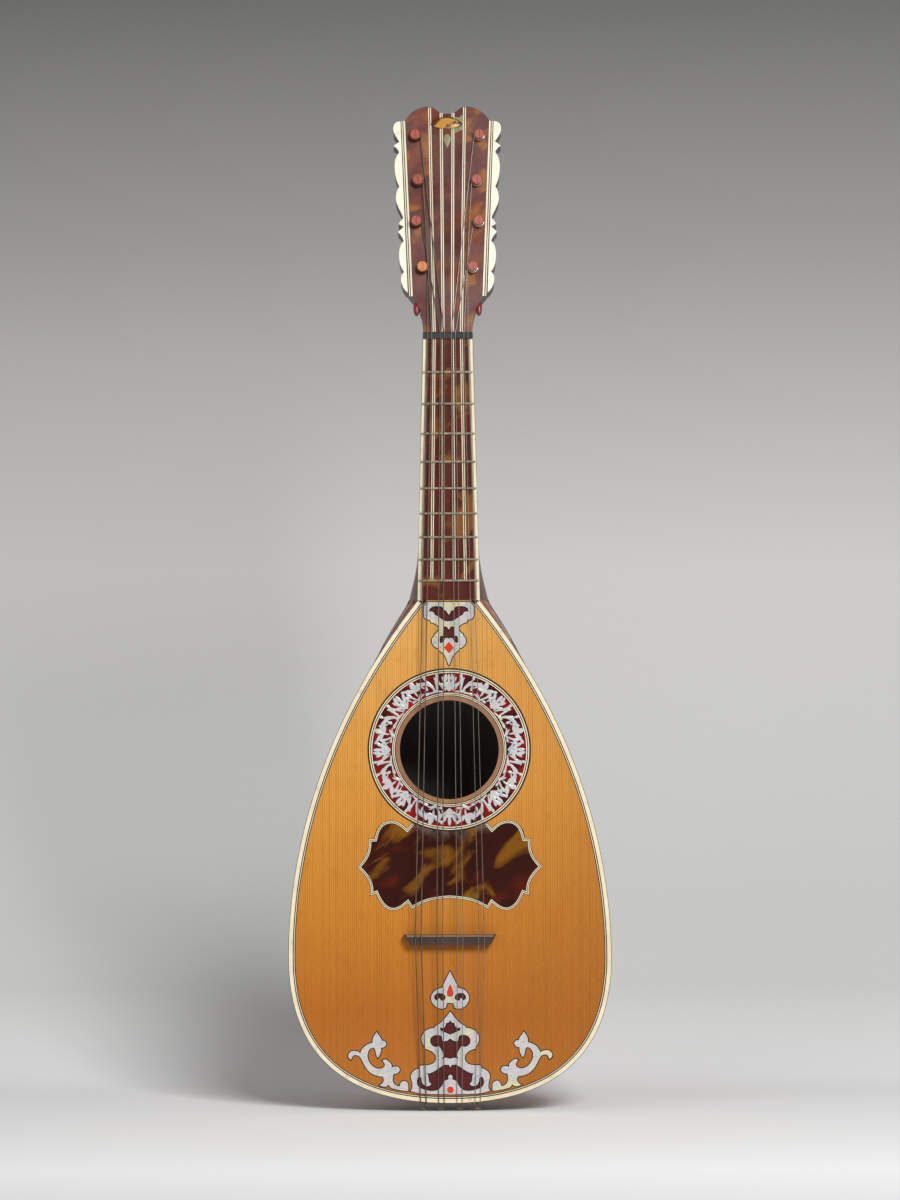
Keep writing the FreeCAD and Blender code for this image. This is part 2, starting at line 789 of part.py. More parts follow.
def makeRibs():
    angles = ribAngles()
    stations = 18
    low = size("tail_cut")
    reach = size("board_length") - low
    heights = [low + reach * (step / (stations - 1)) ** 1.5 for step in range(stations)]
    for number in range(ribCount):
        wires = [ribWire(height, angles[number], angles[number + 1]) for height in heights]
        shape = Part.makeLoft(wires, True, False)
        keep("rib_" + str(number + 1), shapeFeature("Rib" + str(number + 1), shape))


def addLoft(body, name, sections):
    """A loft along Z through closed sections, each a height with a list of (x, y) points."""
    sketches = []
    for number, (height, points) in enumerate(sections):
        ends = [Vector(x, y, 0) for x, y in points]
        geometry = [stretchEdge(ends), Part.LineSegment(ends[-1], ends[0])]
        sketches.append(addSketch(body, name + "Section" + str(number), geometry, "XY_Plane", height))
    loft = body.newObject("PartDesign::AdditiveLoft", name + "Loft")
    loft.Profile = sketches[0]
    loft.Sections = sketches[1:]


def loftBody(name, sections):
    body = doc.addObject("PartDesign::Body", name)
    addLoft(body, name, sections)
    return body


def makeTail():
    clasp = size("clasp_thickness")
    cut = size("tail_cut")
    top = size("clasp_height")
    band = plateBody(
        "ClaspBand", outlineGeometry(edgeBand(0, clasp, top)),
        "Sizes.clasp_depth", "Sizes.board_thickness",
    )
    # A sloping slab takes the band down to its end depth at the two tips.
    slope = math.atan2(size("clasp_depth") - size("clasp_end_depth"), top)
    slab = doc.addObject("Part::Box", "ClaspSlope")
    slab.Length = size("board_width") * 1.4
    slab.Width = size("clasp_depth") * 3
    slab.Height = top * 2
    corner = Vector(-slab.Length.Value / 2, boardBack + size("clasp_depth"), 0)
    slab.Placement = Placement(corner, Rotation(Vector(1, 0, 0), math.degrees(slope)))
    holes = [pinCylinder("PinHole", number, 0.02) for number in range(4)]
    keep("tail_clasp", cutFrom("TailClasp", band, [slab] + holes))
    capHeights = [bowlInset + (cut - bowlInset) * share for share in (0.08, 0.25, 0.5, 1)]
    caps = [(height, sectionPoints(bowlSection(height, bowlInset))) for height in capHeights]
    keep("tail_cap", loftBody("TailCap", caps))
    inner = bowlInset + size("rib_thickness") + size("block_clearance")
    reach = size("tail_block_height")
    low = bowlSection(cut, inner)
    high = (low[0] * 1.35, low[1] * 1.35, 0)
    block = [(cut, sectionPoints(low)), (cut + reach, sectionPoints(high))]
    keep("tail_block", loftBody("TailBlock", block))


def makeNeckBlock():
    inner = bowlInset + size("rib_thickness") + size("block_clearance")
    top = size("board_length")
    heights = [top - size("neck_block_length") * share for share in (1, 0.66, 0.33, 0)]
    sections = []
    for height in heights:
        half, depth, bulge = bowlSection(height, inner)
        slack = size("block_clearance") + 0.03 * (top - height)
        sections.append((height, sectionPoints((half - slack, depth - slack, bulge * 0.9))))
    keep("neck_block", loftBody("NeckBlock", sections))


def makeLinings():
    outer = bowlInset + size("rib_thickness") + size("lining_clearance")
    top = size("board_length") - size("neck_block_length") - 2
    low = size("tail_cut") + size("tail_block_height") + 2
    band = plateBody(
        "LiningBand", outlineGeometry(edgeBand(outer, outer + size("lining_width"), top)),
        "Sizes.lining_depth", "Sizes.board_thickness",
    )
    gap = doc.addObject("Part::Box", "TailBlockGap")
    gap.Length = size("board_width")
    gap.setExpression("Width", "Sizes.lining_depth * 3")
    gap.Height = low
    gap.Placement.Base = Vector(-size("board_width") / 2, 0, 0)
    keep("linings", cutFrom("Linings", band, [gap]))


def makeBrace(label, alias):
    height = size(alias)
    linings = bowlInset + size("rib_thickness") + size("lining_clearance") + size("lining_width")
    low = height - size("brace_width") / 2
    high = height + size("brace_width") / 2
    reach = min(halfWidth(place, linings + size("block_clearance")) for place in (low, high))
    geometry = outlineGeometry(stripOutline(-reach, reach, -reach, reach, low, high))
    name = label.title().replace("_", "")
    keep(label, plateBody(name, geometry, "Sizes.brace_depth", "Sizes.board_thickness"))


# ---- neck and fingerboard ----


def boardHalfAt(height):
    """Half-width of the fingerboard at a height."""
    share = (height - size("board_length")) / (nutHeight - size("board_length"))
    return neckJointHalf + (nutHalf - neckJointHalf) * share


def neckSection(share):
    """Section of the heel, from the bowl's end section at 0 to the neck's own at 1."""
    base = size("board_length")
    half, depth, bulge = bowlSection(base, bowlInset)
    height = base + size("heel_length") * share
    rest = (1 - share) ** 1.6
    wanted = boardHalfAt(height)
    depthHere = size("neck_depth_at_heel") + (depth - size("neck_depth_at_heel")) * rest
    bulgeHere = size("neck_bulge") + (bulge - size("neck_bulge")) * rest
    return height, sectionPoints((wanted + (half - wanted) * rest ** 2, depthHere, bulgeHere))


def makeNeck():
    body = doc.addObject("PartDesign::Body", "Neck")
    steps = 6
    addLoft(body, "Heel", [neckSection(step / steps) for step in range(steps + 1)])
    top = sectionPoints((nutHalf, size("neck_depth_at_nut"), size("neck_bulge")))
    addLoft(body, "Shaft", [neckSection(1), (headJoint, top)])
    keep("neck", body)


def fretHeight(number):
    return nutHeight - size("scale_length") * (1 - 2 ** (-number / 12))


def stripeCentres(half):
    """Four stripe centres across a half-width, the outer pair at about half of it."""
    return [-0.53 * half, -0.18 * half, 0.18 * half, 0.53 * half]


def fingerboardStrips():
    """Boundaries across the fingerboard at the last fret and at the nut, with what lies between."""
    low = fretHeight(size("fret_count"))
    rows = []
    for height in (low, nutHeight):
        half = boardHalfAt(height)
        edge = half - size("edge_strip_width")
        places = [-half, -edge]
        for centre in stripeCentres(half * 1.04):
            places += [centre - size("stripe_width") / 2, centre + size("stripe_width") / 2]
        rows.append(places + [edge, half])
    return low, rows


def makeFingerboard():
    low, (lowRow, highRow) = fingerboardStrips()
    fields = []
    stripes = []
    for index in range(1, len(lowRow) - 2):
        strip = stripOutline(
            lowRow[index], lowRow[index + 1], highRow[index], highRow[index + 1], low, nutHeight,
        )
        target = fields if index % 2 == 1 else stripes
        target += outlineGeometry(strip)
    base = size("board_length")
    edge = size("edge_strip_width")
    endPiece = stripOutline(
        edge - boardHalfAt(base), boardHalfAt(base) - edge,
        edge - boardHalfAt(low), boardHalfAt(low) - edge, base, low,
    )
    board = plateBody("FingerboardFields", fields, "Sizes.board_thickness")
    endBoard = plateBody("FingerboardEnd", outlineGeometry(endPiece), "Sizes.board_thickness")
    keep("fingerboard", compoundOf("Fingerboard", [board, endBoard]))
    keep("fingerboard_stripes", plateBody("FingerboardStripes", stripes, "Sizes.board_thickness"))
    edges = []
    for side in (-1, 1):
        outer = [side * boardHalfAt(height) for height in (base, nutHeight)]
        inner = [place - side * edge for place in outer]
        edges += outlineGeometry(stripOutline(outer[0], inner[0], outer[1], inner[1], base, nutHeight))
    keep("fingerboard_edges", plateBody("FingerboardEdges", edges, "Sizes.board_thickness"))


def makeFrets():
    geometry = []
    for number in range(1, int(size("fret_count")) + 1):
        height = fretHeight(number)
        reach = boardHalfAt(height) - size("fret_side_gap")
        low = height - size("fret_width") / 2
        high = height + size("fret_width") / 2
        geometry += outlineGeometry(stripOutline(-reach, reach, -reach, reach, low, high))
    keep("frets", plateBody("Frets", geometry, "Sizes.fret_height", "-Sizes.fret_height"))


def makeNut():
    geometry = outlineGeometry(stripOutline(-nutHalf, nutHalf, -nutHalf, nutHalf, nutHeight, headJoint))
    thickness = "Sizes.nut_height + Sizes.board_thickness"
    keep("nut", plateBody("Nut", geometry, thickness, "-Sizes.nut_height"))


# ---- head, built upright and then tilted back about the nut ----

tilt = Rotation(Vector(1, 0, 0), -size("head_tilt"))
headPlacement = Placement(Vector(0, 0, headJoint), tilt)


def headPoint(across, forward, along):
    """A place on the head: across, forward of its face, and along it from the nut."""
    return headPlacement.multVec(Vector(across, -forward, along))


def headPlate(name, geometry, thickness, front="0"):
    """A plate parallel to the head's face, tilted with it."""
    body = doc.addObject("PartDesign::Body", name)
    body.AllowCompound = True
    sketch = addSketch(body, name + "Outline", geometry)
    sketch.setExpression("AttachmentOffset.Base.z", "-(" + front + ")")
    addPad(body, sketch, thickness, True)
    body.Placement = headPlacement
    return body


def headOutline():
    """Waisted head with two crests and a dip between them."""
    low = size("head_low_height")
    shoulder = headShoulder
    crest = size("head_length")
    topHalf = size("head_top_half_width")
    lowHalf = size("head_low_half_width")
    start = size("head_start")
    return mirroredOutline([
        [(0, start), (nutHalf, start)],
        [
            (nutHalf, start), (nutHalf + 0.3, low * 0.3),
            (nutHalf + 2.1, low * 0.6), (lowHalf - 2.4, low * 0.86),
        ],
        [(lowHalf - 2.4, low * 0.86), (lowHalf, low)],
        [(lowHalf, low), (topHalf, shoulder)],
        [(topHalf, shoulder), (topHalf - 2.6, shoulder + 0.6)],
        [(topHalf - 2.6, shoulder + 0.6), (topHalf * 0.68, crest - 2.0), (topHalf * 0.42, crest)],
        [
            (topHalf * 0.42, crest), (topHalf * 0.28, crest - 1.0),
            (topHalf * 0.2, crest - 2.6), (0, crest - 4.0),
        ],
    ])


def headEdgeAt(along):
    low = size("head_low_height")
    shoulder = headShoulder
    share = (along - low) / (shoulder - low)
    return size("head_low_half_width") + (size("head_top_half_width") - size("head_low_half_width")) * share


def scallopOutline(side):
    """Ivory edge of the head: lobes and beaks along the straight side, from the shoulder down."""
    low = size("head_low_height")
    reach = headShoulder - low

    def place(share, outward):
        along = low + reach * share
        return (side * (headEdgeAt(along) + outward), along)

    return [
        [place(1, 0), place(0.985, 3.4), place(0.95, 4.2), place(0.905, 2.4), place(0.882, 1.0)],
        [place(0.882, 1.0), place(0.857, 4.4)],
        [place(0.857, 4.4), place(0.84, 2.4), place(0.818, 1.4)],
        [place(0.818, 1.4), place(0.785, 3.4), place(0.72, 4.3), place(0.655, 3.5), place(0.619, 2.1)],
        [place(0.619, 2.1), place(0.58, 3.9), place(0.53, 4.2), place(0.475, 2.2), place(0.435, 0.7)],
        [place(0.435, 0.7), place(0.4, 3.4)],
        [place(0.4, 3.4), place(0.383, 0.6)],
        [place(0.383, 0.6), place(0.352, 3.9)],
        [place(0.352, 3.9), place(0.33, 2.2), place(0.3, 0.9)],
        [place(0.3, 0.9), place(0.265, 3.1), place(0.21, 3.9), place(0.15, 3.1), place(0.12, 1.4)],
        [place(0.12, 1.4), place(0.095, 3.1), place(0.055, 3.2), place(0.02, 1.8), place(0, 0)],
        [place(0, 0), place(1, 0)],
    ]


def pegSites():
    """Offset from the middle and place along the head of the four pegs on one side, from the nut up."""
    low = size("head_low_height")
    reach = headShoulder - low
    shares = ((14.0, 0.138), (17.4, 0.405), (16.4, 0.645), (17.9, 0.911))
    return [(across, low + reach * share) for across, share in shares]


def pegPlacement(side, site):
    across, along = pegSites()[site]
    base = headPoint(side * across, size("peg_protrusion"), along)
    turn = Rotation(Vector(1, 0, 0), -90 - size("head_tilt"))
    return Placement(base, turn)


def pegBores(name):
    bores = []
    for side in (-1, 1):
        for site in range(4):
            bore = doc.addObject("Part::Cylinder", name)
            bore.setExpression("Radius", "Sizes.peg_radius + Sizes.peg_clearance")
            bore.setExpression("Height", "Sizes.head_thickness * 3")
            bore.Placement = pegPlacement(side, site)
            bores.append(bore)
    return bores


def headStrip(name, lowLeft, lowRight, highLeft, highRight):
    outline = stripOutline(lowLeft, lowRight, highLeft, highRight, 0, size("head_length") * 1.05)
    return headPlate(name, outlineGeometry(outline), "Sizes.head_veneer")


def makeHead():
    outline = outlineGeometry(headOutline())
    core = headPlate("HeadPlank", outline, "Sizes.head_thickness - Sizes.head_veneer", "Sizes.head_veneer")
    wings = []
    scallops = []
    for side, name in ((-1, "Left"), (1, "Right")):
        wing = outlineGeometry(scallopOutline(side))
        back = "Sizes.head_thickness - Sizes.scallop_thickness"
        wings.append(headPlate("Wing" + name, wing, back, "Sizes.scallop_thickness"))
        scallops.append(headPlate("Scallop" + name, wing, "Sizes.scallop_thickness"))
    plank = doc.addObject("Part::MultiFuse", "HeadWhole")
    plank.Shapes = [core] + wings
    below = doc.addObject("Part::Box", "BelowHead")
    below.Length = size("board_width")
    below.Width = size("head_thickness") * 4
    below.Height = size("head_thickness") * 2
    below.Placement.Base = Vector(-below.Length.Value / 2, -10, headJoint - below.Height.Value)
    keep("head_core", cutFrom("HeadCore", plank, [below] + pegBores("CoreBore")))
    keep("head_edges", compoundOf("HeadEdges", scallops))
    makeHeadFace(outline)


def makeHeadFace(outline):
    veneer = headPlate("FaceSheet", outline, "Sizes.head_veneer")
    strips = []
    halfStripe = size("stripe_width") / 2
    highHalf = size("head_top_half_width") - size("head_border_width")
    tops = stripeCentres(highHalf * 0.8)
    for number, centre in enumerate(stripeCentres(nutHalf * 1.04)):
        top = tops[number]
        strips.append(headStrip(
            "HeadStripe" + str(number),
            centre - halfStripe, centre + halfStripe, top - halfStripe, top + halfStripe,
        ))
    border = size("head_border_width")
    lowAlong = size("head_low_height") * 0.86
    for side, name in ((-1, "Left"), (1, "Right")):
        crest = size("head_length")
        outer = [side * (headEdgeAt(along) + 1) for along in (lowAlong, crest)]
        inner = [side * (headEdgeAt(along) - border) for along in (lowAlong, crest)]
        corners = stripOutline(inner[0], outer[0], inner[1], outer[1], lowAlong, crest)
        strips.append(headPlate("HeadBorder" + name, outlineGeometry(corners), "Sizes.head_veneer"))
    bores = pegBores("FaceBore")
    lines = commonOf("HeadLines", compoundOf("HeadStrips", strips), veneer)
    keep("head_stripes", cutFrom("HeadStripes", lines, bores))
    fields = cutFrom("HeadFace", veneer, strips + bores)
    keep("head_face", fields)


def makeHeadOrnament():
    top = size("head_length") - 6.0
    fan = mirroredOutline([
        [(0, top - 7.4), (3.6, top - 6.4), (7.4, top - 5.2)],
        [(7.4, top - 5.2), (6.4, top - 2.6), (3.4, top - 0.6), (0, top)],
    ])
    drop = mirroredOutline([
        [(0, top - 15.4), (1.6, top - 12.4), (2.4, top - 8.0)],
        [(2.4, top - 8.0), (0, top - 8.2)],
    ])
    geometry = outlineGeometry(fan) + outlineGeometry(drop)
    keep("head_ornament", headPlate("HeadOrnament", geometry, "Sizes.inlay_depth", "-Sizes.inlay_depth"))


# ---- pegs ----


def makePeg(number, side, site):
    """A peg from its slotted tip, through the head, to the flat blade behind it."""
    body = doc.addObject("PartDesign::Body", "Peg" + str(number))
    radius = size("peg_radius")
    post = size("peg_post_radius")
    cap = size("peg_cap")
    face = size("peg_protrusion")
    back = face + size("head_thickness") + size("peg_back_gap")
    collar = radius + size("peg_collar_width")
    neck = back + 5.0
    end = back + size("peg_tail_length")
    profile = [
        (0, 0), (radius - 0.5, 0), (radius - 0.05, 0.45), (radius - 0.05, cap), (post, cap + 0.05),
        (post, face), (radius, face + 0.05), (radius, back), (collar, back + 0.3),
        (collar, back + 2.2), (radius - 0.6, neck), (radius - 0.8, end - 4.0), (0, end - 4.0),
    ]
    corners = [Vector(x, z, 0) for x, z in profile]
    edges = [Part.LineSegment(a, b) for a, b in zip(corners, corners[1:] + corners[:1])]
    shaft = body.newObject("PartDesign::Revolution", "Peg" + str(number) + "Shaft")
    shaftSketch = addSketch(body, "Peg" + str(number) + "Profile", edges)
    shaft.Profile = shaftSketch
    shaft.ReferenceAxis = (shaftSketch, ["V_Axis"])
    shaft.Angle = 360
    half = size("peg_blade_width") / 2
    bladeBase = neck - 1.0
    blade = mirroredOutline([
        [(0, bladeBase), (1.5, bladeBase)],
        [
            (1.5, bladeBase), (half * 0.62, bladeBase + 3.4),
            (half, (bladeBase + end) / 2), (half * 0.55, end - 1.2), (0, end),
        ],
    ])
    thickness = size("peg_blade_thickness")
    sketch = addSketch(body, "Peg" + str(number) + "Blade", outlineGeometry(blade), lift=-thickness / 2)
    addPad(body, sketch, "Sizes.peg_blade_thickness", False)
    slotHalf = size("peg_slot_width") / 2
    slot = stripOutline(-slotHalf, slotHalf, -slotHalf, slotHalf, -2 * radius, 2 * radius)
    slotSketch = addSketch(body, "Peg" + str(number) + "Slot", outlineGeometry(slot), "XY_Plane")
    pocket = body.newObject("PartDesign::Pocket", "Peg" + str(number) + "Cut")
    pocket.Profile = slotSketch
    pocket.setExpression("Length", "Sizes.peg_slot_depth")
    pocket.Reversed = True
    body.Placement = pegPlacement(side, site)
    keep("peg_" + str(number), body)


def makePegs():
    number = 0
    for side in (-1, 1):
        for site in range(4):
            number += 1
            makePeg(number, side, site)


# ---- bridge, strings and hitch pins ----


def makeBridge():
    saddle = size("saddle_width")
    topEdge = bridgeHeight + saddle / 2
    tailEdge = topEdge - size("bridge_thickness")
    topHalf = size("bridge_top_length") / 2
    tailHalf = size("bridge_tail_length") / 2
    bar = outlineGeometry(stripOutline(-tailHalf, tailHalf, -topHalf, topHalf, tailEdge, topEdge))
    barHeight = "Sizes.bridge_height - Sizes.saddle_height - Sizes.bridge_clearance"
    keep("bridge", plateBody("Bridge", bar, barHeight, "Sizes.saddle_height - Sizes.bridge_height"))
    reach = topHalf - 1.5
    strip = stripOutline(-reach, reach, -reach, reach, topEdge - saddle, topEdge)
    saddleBody = plateBody("BridgeSaddle", outlineGeometry(strip), "Sizes.saddle_height", "-Sizes.bridge_height")
    keep("bridge_saddle", saddleBody)


def courseCentre(course, place):
    """Courses are numbered from the left; place is nut, bridge or tail."""
    outer = size("outer_course_at_" + place)
    inner = size("inner_course_at_" + place)
    return (-outer, -inner, inner, outer)[course]


def pinCylinder(name, course, slack):
    """Hitch pin shank of one course, from outside the tail into the clasp."""
    across = courseCentre(course, "tail")
    top = edgeHeight(across) + size("clasp_thickness") * 0.9
    pin = doc.addObject("Part::Cylinder", name + str(course))
    pin.Radius = size("hitch_pin_radius") + slack
    pin.Height = top + size("hitch_pin_length") + slack
    pin.Placement.Base = Vector(across, size("hitch_pin_setback"), -size("hitch_pin_length"))
    return pin


def makeHitchPins():
    pins = []
    for course in range(4):
        shank = pinCylinder("Shank", course, 0)
        head = doc.addObject("Part::Cylinder", "PinHead" + str(course))
        head.setExpression("Radius", "Sizes.hitch_pin_head_radius")
        head.setExpression("Height", "Sizes.hitch_pin_head_height")
        head.Placement.Base = shank.Placement.Base
        pin = doc.addObject("Part::Fuse", "HitchPin" + str(course))
        pin.Base = shank
        pin.Tool = head
        pins.append(pin)
    keep("hitch_pins", compoundOf("HitchPins", pins))


def roundedPath(points, radii):
    """Straight runs joined by tangent arcs of the given radii at the inner points."""
    edges = []
    start = points[0]
    for before, corner, after, radius in zip(points, points[1:], points[2:], radii):
        inward = (before - corner).normalize()
        outward = (after - corner).normalize()
        half = inward.getAngle(outward) / 2
        trim = radius / math.tan(half)
        first = corner + inward * trim
        last = corner + outward * trim
        bisector = (inward + outward).normalize()
        centre = corner + bisector * (radius / math.sin(half))
        middle = centre - bisector * radius
        edges.append(Part.LineSegment(start, first).toShape())
        edges.append(Part.Arc(first, middle, last).toShape())
        start = last
    edges.append(Part.LineSegment(start, points[-1]).toShape())
    return Part.Wire(edges)


def tubeAlong(path, radius):
    first = path.OrderedEdges[0]
    start = first.valueAt(first.FirstParameter)
    direction = first.tangentAt(first.FirstParameter)
    circle = Part.Wire([Part.Circle(start, direction, radius).toShape()])
    return path.makePipeShell([circle], True, False)


# Which peg each string of a half goes to, from the outermost string inward, and how high above
# the head's face it is wound, so that crossing strings and neighbouring pegs stay clear.
pegOfString = (0, 2, 1, 3)
windingHeights = (1.0, 1.0, 3.2, 2.0)


def stringShape(course, side, rank, radius):
    """One string from its hitch pin over the tail edge, bridge and nut to its turns on the peg."""
    outward = side * (1 if rank % 2 == 0 else -1)
    atNut = courseCentre(course, "nut") + outward * size("pair_half_gap_at_nut")
    atBridge = courseCentre(course, "bridge") + outward * size("pair_half_gap_at_bridge")
    clear = size("string_edge_gap") + radius
    atPin = courseCentre(course, "tail") + outward * (size("hitch_pin_radius") + clear)
    edge = edgeHeight(atPin) - clear
    seat = radius + size("string_seat")
    site = pegOfString[rank]
    pegAcross, pegAlong = pegSites()[site]
    windingHeight = windingHeights[site]
    post = size("peg_post_radius")
    bend = post + size("winding_clearance") + size("winding_seat") + radius
    points = [
        Vector(atPin, size("hitch_pin_setback"), edge),
        Vector(atPin, -clear, edge),
        Vector(atBridge, -size("bridge_height") - size("saddle_clearance") - radius, bridgeHeight),
        Vector(atNut, -size("nut_height") - seat, nutHeight + 0.3),
        Vector(atNut, -size("nut_height") - seat, headJoint - 0.2),
        headPoint(side * (pegAcross - bend), windingHeight, pegAlong),
    ]
    path = roundedPath(points, [2 * radius, 3.0, 3.0, 3.0])
    string = tubeAlong(path, radius)
    expected = math.pi * radius ** 2 * path.Length
    if abs(string.Volume / expected - 1) > 0.01:
        raise ValueError("a string's volume does not match its length")
    turns = 4 * radius
    axis = headPoint(0, 1, 0) - headPoint(0, 0, 0)
    base = headPoint(side * pegAcross, windingHeight - turns / 2, pegAlong)
    winding = Part.makeCylinder(bend + radius + size("winding_wall"), turns, base, axis)
    core = Part.makeCylinder(post + size("winding_clearance"), turns, base, axis)
    return string.fuse(winding.cut(core))


def makeStrings():
    for course in range(4):
        side = -1 if course < 2 else 1
        ranks = (0, 1) if course in (0, 3) else (2, 3)
        radius = size("string_radius_" + str(course + 1))
        shapes = [stringShape(course, side, rank, radius) for rank in ranks]
        label = "string_course_" + str(course + 1)
        keep(label, shapeFeature("StringCourse" + str(course + 1), Part.makeCompound(shapes)))


# ---- everything ----


def checkAndExport():
    doc.recompute()
    faults = [thing.Name for thing in doc.Objects if "Invalid" in thing.State or "Error" in thing.State]
    for thing in subparts:
        if thing.Shape.isNull() or not thing.Shape.isValid() or not thing.Shape.Solids:
            faults.append(thing.Label)
    if faults:
        raise ValueError("faulty: " + ", ".join(faults))
    os.makedirs("parts", exist_ok=True)
    for thing in subparts:
        thing.Shape.exportStep("parts/" + thing.Label + ".step")
        print(thing.Label, len(thing.Shape.Solids), round(thing.Shape.Volume, 1))
    print(len(subparts), "sub-parts")


makeSoundboard()
makeEdge()
makeRosette()
makePickguard()
makeOrnaments()
makeRibs()
makeTail()
makeNeckBlock()
makeLinings()
makeBrace("lower_brace", "lower_brace_height")
makeBrace("upper_brace", "upper_brace_height")
makeNeck()
makeFingerboard()
makeFrets()
makeNut()
makeHead()
makeHeadOrnament()
makePegs()
makeBridge()
makeHitchPins()
makeStrings()
checkAndExport()
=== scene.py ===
import json
import math

import bpy
import numpy as np
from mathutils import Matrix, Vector


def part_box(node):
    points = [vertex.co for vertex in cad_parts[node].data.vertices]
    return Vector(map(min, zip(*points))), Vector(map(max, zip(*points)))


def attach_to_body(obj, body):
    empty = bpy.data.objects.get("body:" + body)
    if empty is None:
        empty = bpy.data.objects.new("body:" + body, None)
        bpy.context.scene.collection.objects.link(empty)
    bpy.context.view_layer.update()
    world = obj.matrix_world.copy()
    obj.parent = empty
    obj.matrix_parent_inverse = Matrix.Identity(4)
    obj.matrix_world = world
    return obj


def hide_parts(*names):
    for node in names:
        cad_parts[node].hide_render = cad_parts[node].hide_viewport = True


# Bowl-back mandolin: fine inlay, foliage, windings and finishes on the CAD frame.
# Lengths are metres, +Z runs up the neck and the soundboard faces -Y in the plane y = 0.

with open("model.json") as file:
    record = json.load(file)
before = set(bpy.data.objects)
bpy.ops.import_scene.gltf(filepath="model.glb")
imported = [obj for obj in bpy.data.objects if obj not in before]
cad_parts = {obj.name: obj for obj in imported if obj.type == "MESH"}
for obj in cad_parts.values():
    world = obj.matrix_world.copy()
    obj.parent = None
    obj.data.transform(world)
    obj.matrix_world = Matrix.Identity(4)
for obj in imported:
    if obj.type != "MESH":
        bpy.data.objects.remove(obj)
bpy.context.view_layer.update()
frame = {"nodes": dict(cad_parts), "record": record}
nodes = frame["nodes"]
mm = 0.001
print("frame loaded:", len(nodes), "nodes")


# short calls that place nodes in a material come first
def paint(red, green, blue):
    # a screen colour, 0 to 255, as the linear colour that shaders use
    share = np.array([red, green, blue]) / 255
    linear = np.where(share <= 0.04045, share / 12.92, ((share + 0.055) / 1.055) ** 2.4)
    return (*[float(part) for part in linear], 1.0)


def attach(tree, value, socket):
    # links an output, or sets a plain value, which on a colour socket is a screen colour
    if isinstance(value, bpy.types.NodeSocket):
        tree.links.new(value, socket)
    else:
        socket.default_value = paint(*value) if socket.type == "RGBA" else value


def step(tree, kind, inputs=None, **settings):
    # one node with its settings and what goes into it, by socket name or number
    node = tree.nodes.new("ShaderNode" + kind)
    for name, value in settings.items():
        setattr(node, name, value)
    for key, value in (inputs or {}).items():
        attach(tree, value, node.inputs[key])
    return node


def sums(tree, operation, first, second=0.0):
    return step(tree, "Math", {0: first, 1: second}, operation=operation).outputs[0]


def times(tree, first, second):
    return sums(tree, "MULTIPLY", first, second)


def plus(tree, first, second):
    return sums(tree, "ADD", first, second)


def axes(tree, vector):
    # the three parts of a vector
    return step(tree, "SeparateXYZ", {0: vector}).outputs


def sized(tree, vector, size):
    # a vector divided by a size, so that a pattern laid on it grows by as much
    share = sums(tree, "DIVIDE", 1.0, size)
    return step(tree, "VectorMath", {0: vector, 3: share}, operation="SCALE").outputs[0]


def between(tree, value, low, high, start=0.0, end=1.0):
    # value carried from low..high to start..end, held at both ends
    inputs = {"Value": value, "From Min": low, "From Max": high, "To Min": start, "To Max": end}
    return step(tree, "MapRange", inputs, clamp=True).outputs[0]


def blended(tree, share, first, second, mode="MIX"):
    node = step(tree, "Mix", data_type="RGBA", blend_type=mode)
    attach(tree, share, node.inputs[0])
    attach(tree, first, node.inputs[6])
    attach(tree, second, node.inputs[7])
    return node.outputs[2]


def layered(tree, colour, layers):
    # paints each layer over the colour where its mask is, at most by its share, a number or an output
    for mask, share, over in layers:
        part = mask if share == 1 else times(tree, mask, share)
        colour = blended(tree, part, colour, over)
    return colour


def stretched(tree, vector, scale, turn=(0, 0, 0), shift=(0, 0, 0)):
    inputs = {"Vector": vector, "Scale": scale, "Rotation": turn, "Location": shift}
    return step(tree, "Mapping", inputs).outputs[0]


def cloud(tree, vector, scale, detail=3.0, roughness=0.55, warp=0.0, **mapping):
    # noise; three scales stretch it along X, Y and Z, and mapping can turn and shift it
    if isinstance(scale, tuple):
        vector, scale = stretched(tree, vector, scale, **mapping), 1.0
    inputs = {"Vector": vector, "Scale": scale, "Detail": detail, "Roughness": roughness, "Distortion": warp}
    return step(tree, "TexNoise", inputs).outputs[0]


def ramp(tree, value, stops):
    node = step(tree, "ValToRGB", {0: value})
    marks = node.color_ramp.elements
    while len(marks) < len(stops):
        marks.new(0.5)
    for mark, (place, colour) in zip(marks, stops):
        mark.position = place
        mark.color = paint(*colour)
    return node.outputs[0]


def newGroup(name, inputs, outputs):
    # a node group; inputs are name: (kind, start value), outputs are name: kind
    group = bpy.data.node_groups.new(name, "ShaderNodeTree")
    for label, (kind, value) in inputs.items():
        socket = group.interface.new_socket(label, in_out="INPUT", socket_type="NodeSocket" + kind)
        if kind != "Vector":
            socket.default_value = value
    for label, kind in outputs.items():
        group.interface.new_socket(label, in_out="OUTPUT", socket_type="NodeSocket" + kind)
    return group, group.nodes.new("NodeGroupInput").outputs, group.nodes.new("NodeGroupOutput").inputs


def placeGroup(tree, group, inputs):
    node = tree.nodes.new("ShaderNodeGroup")
    node.node_tree = group
    for label, value in inputs.items():
        attach(tree, value, node.inputs[label])
    return node.outputs


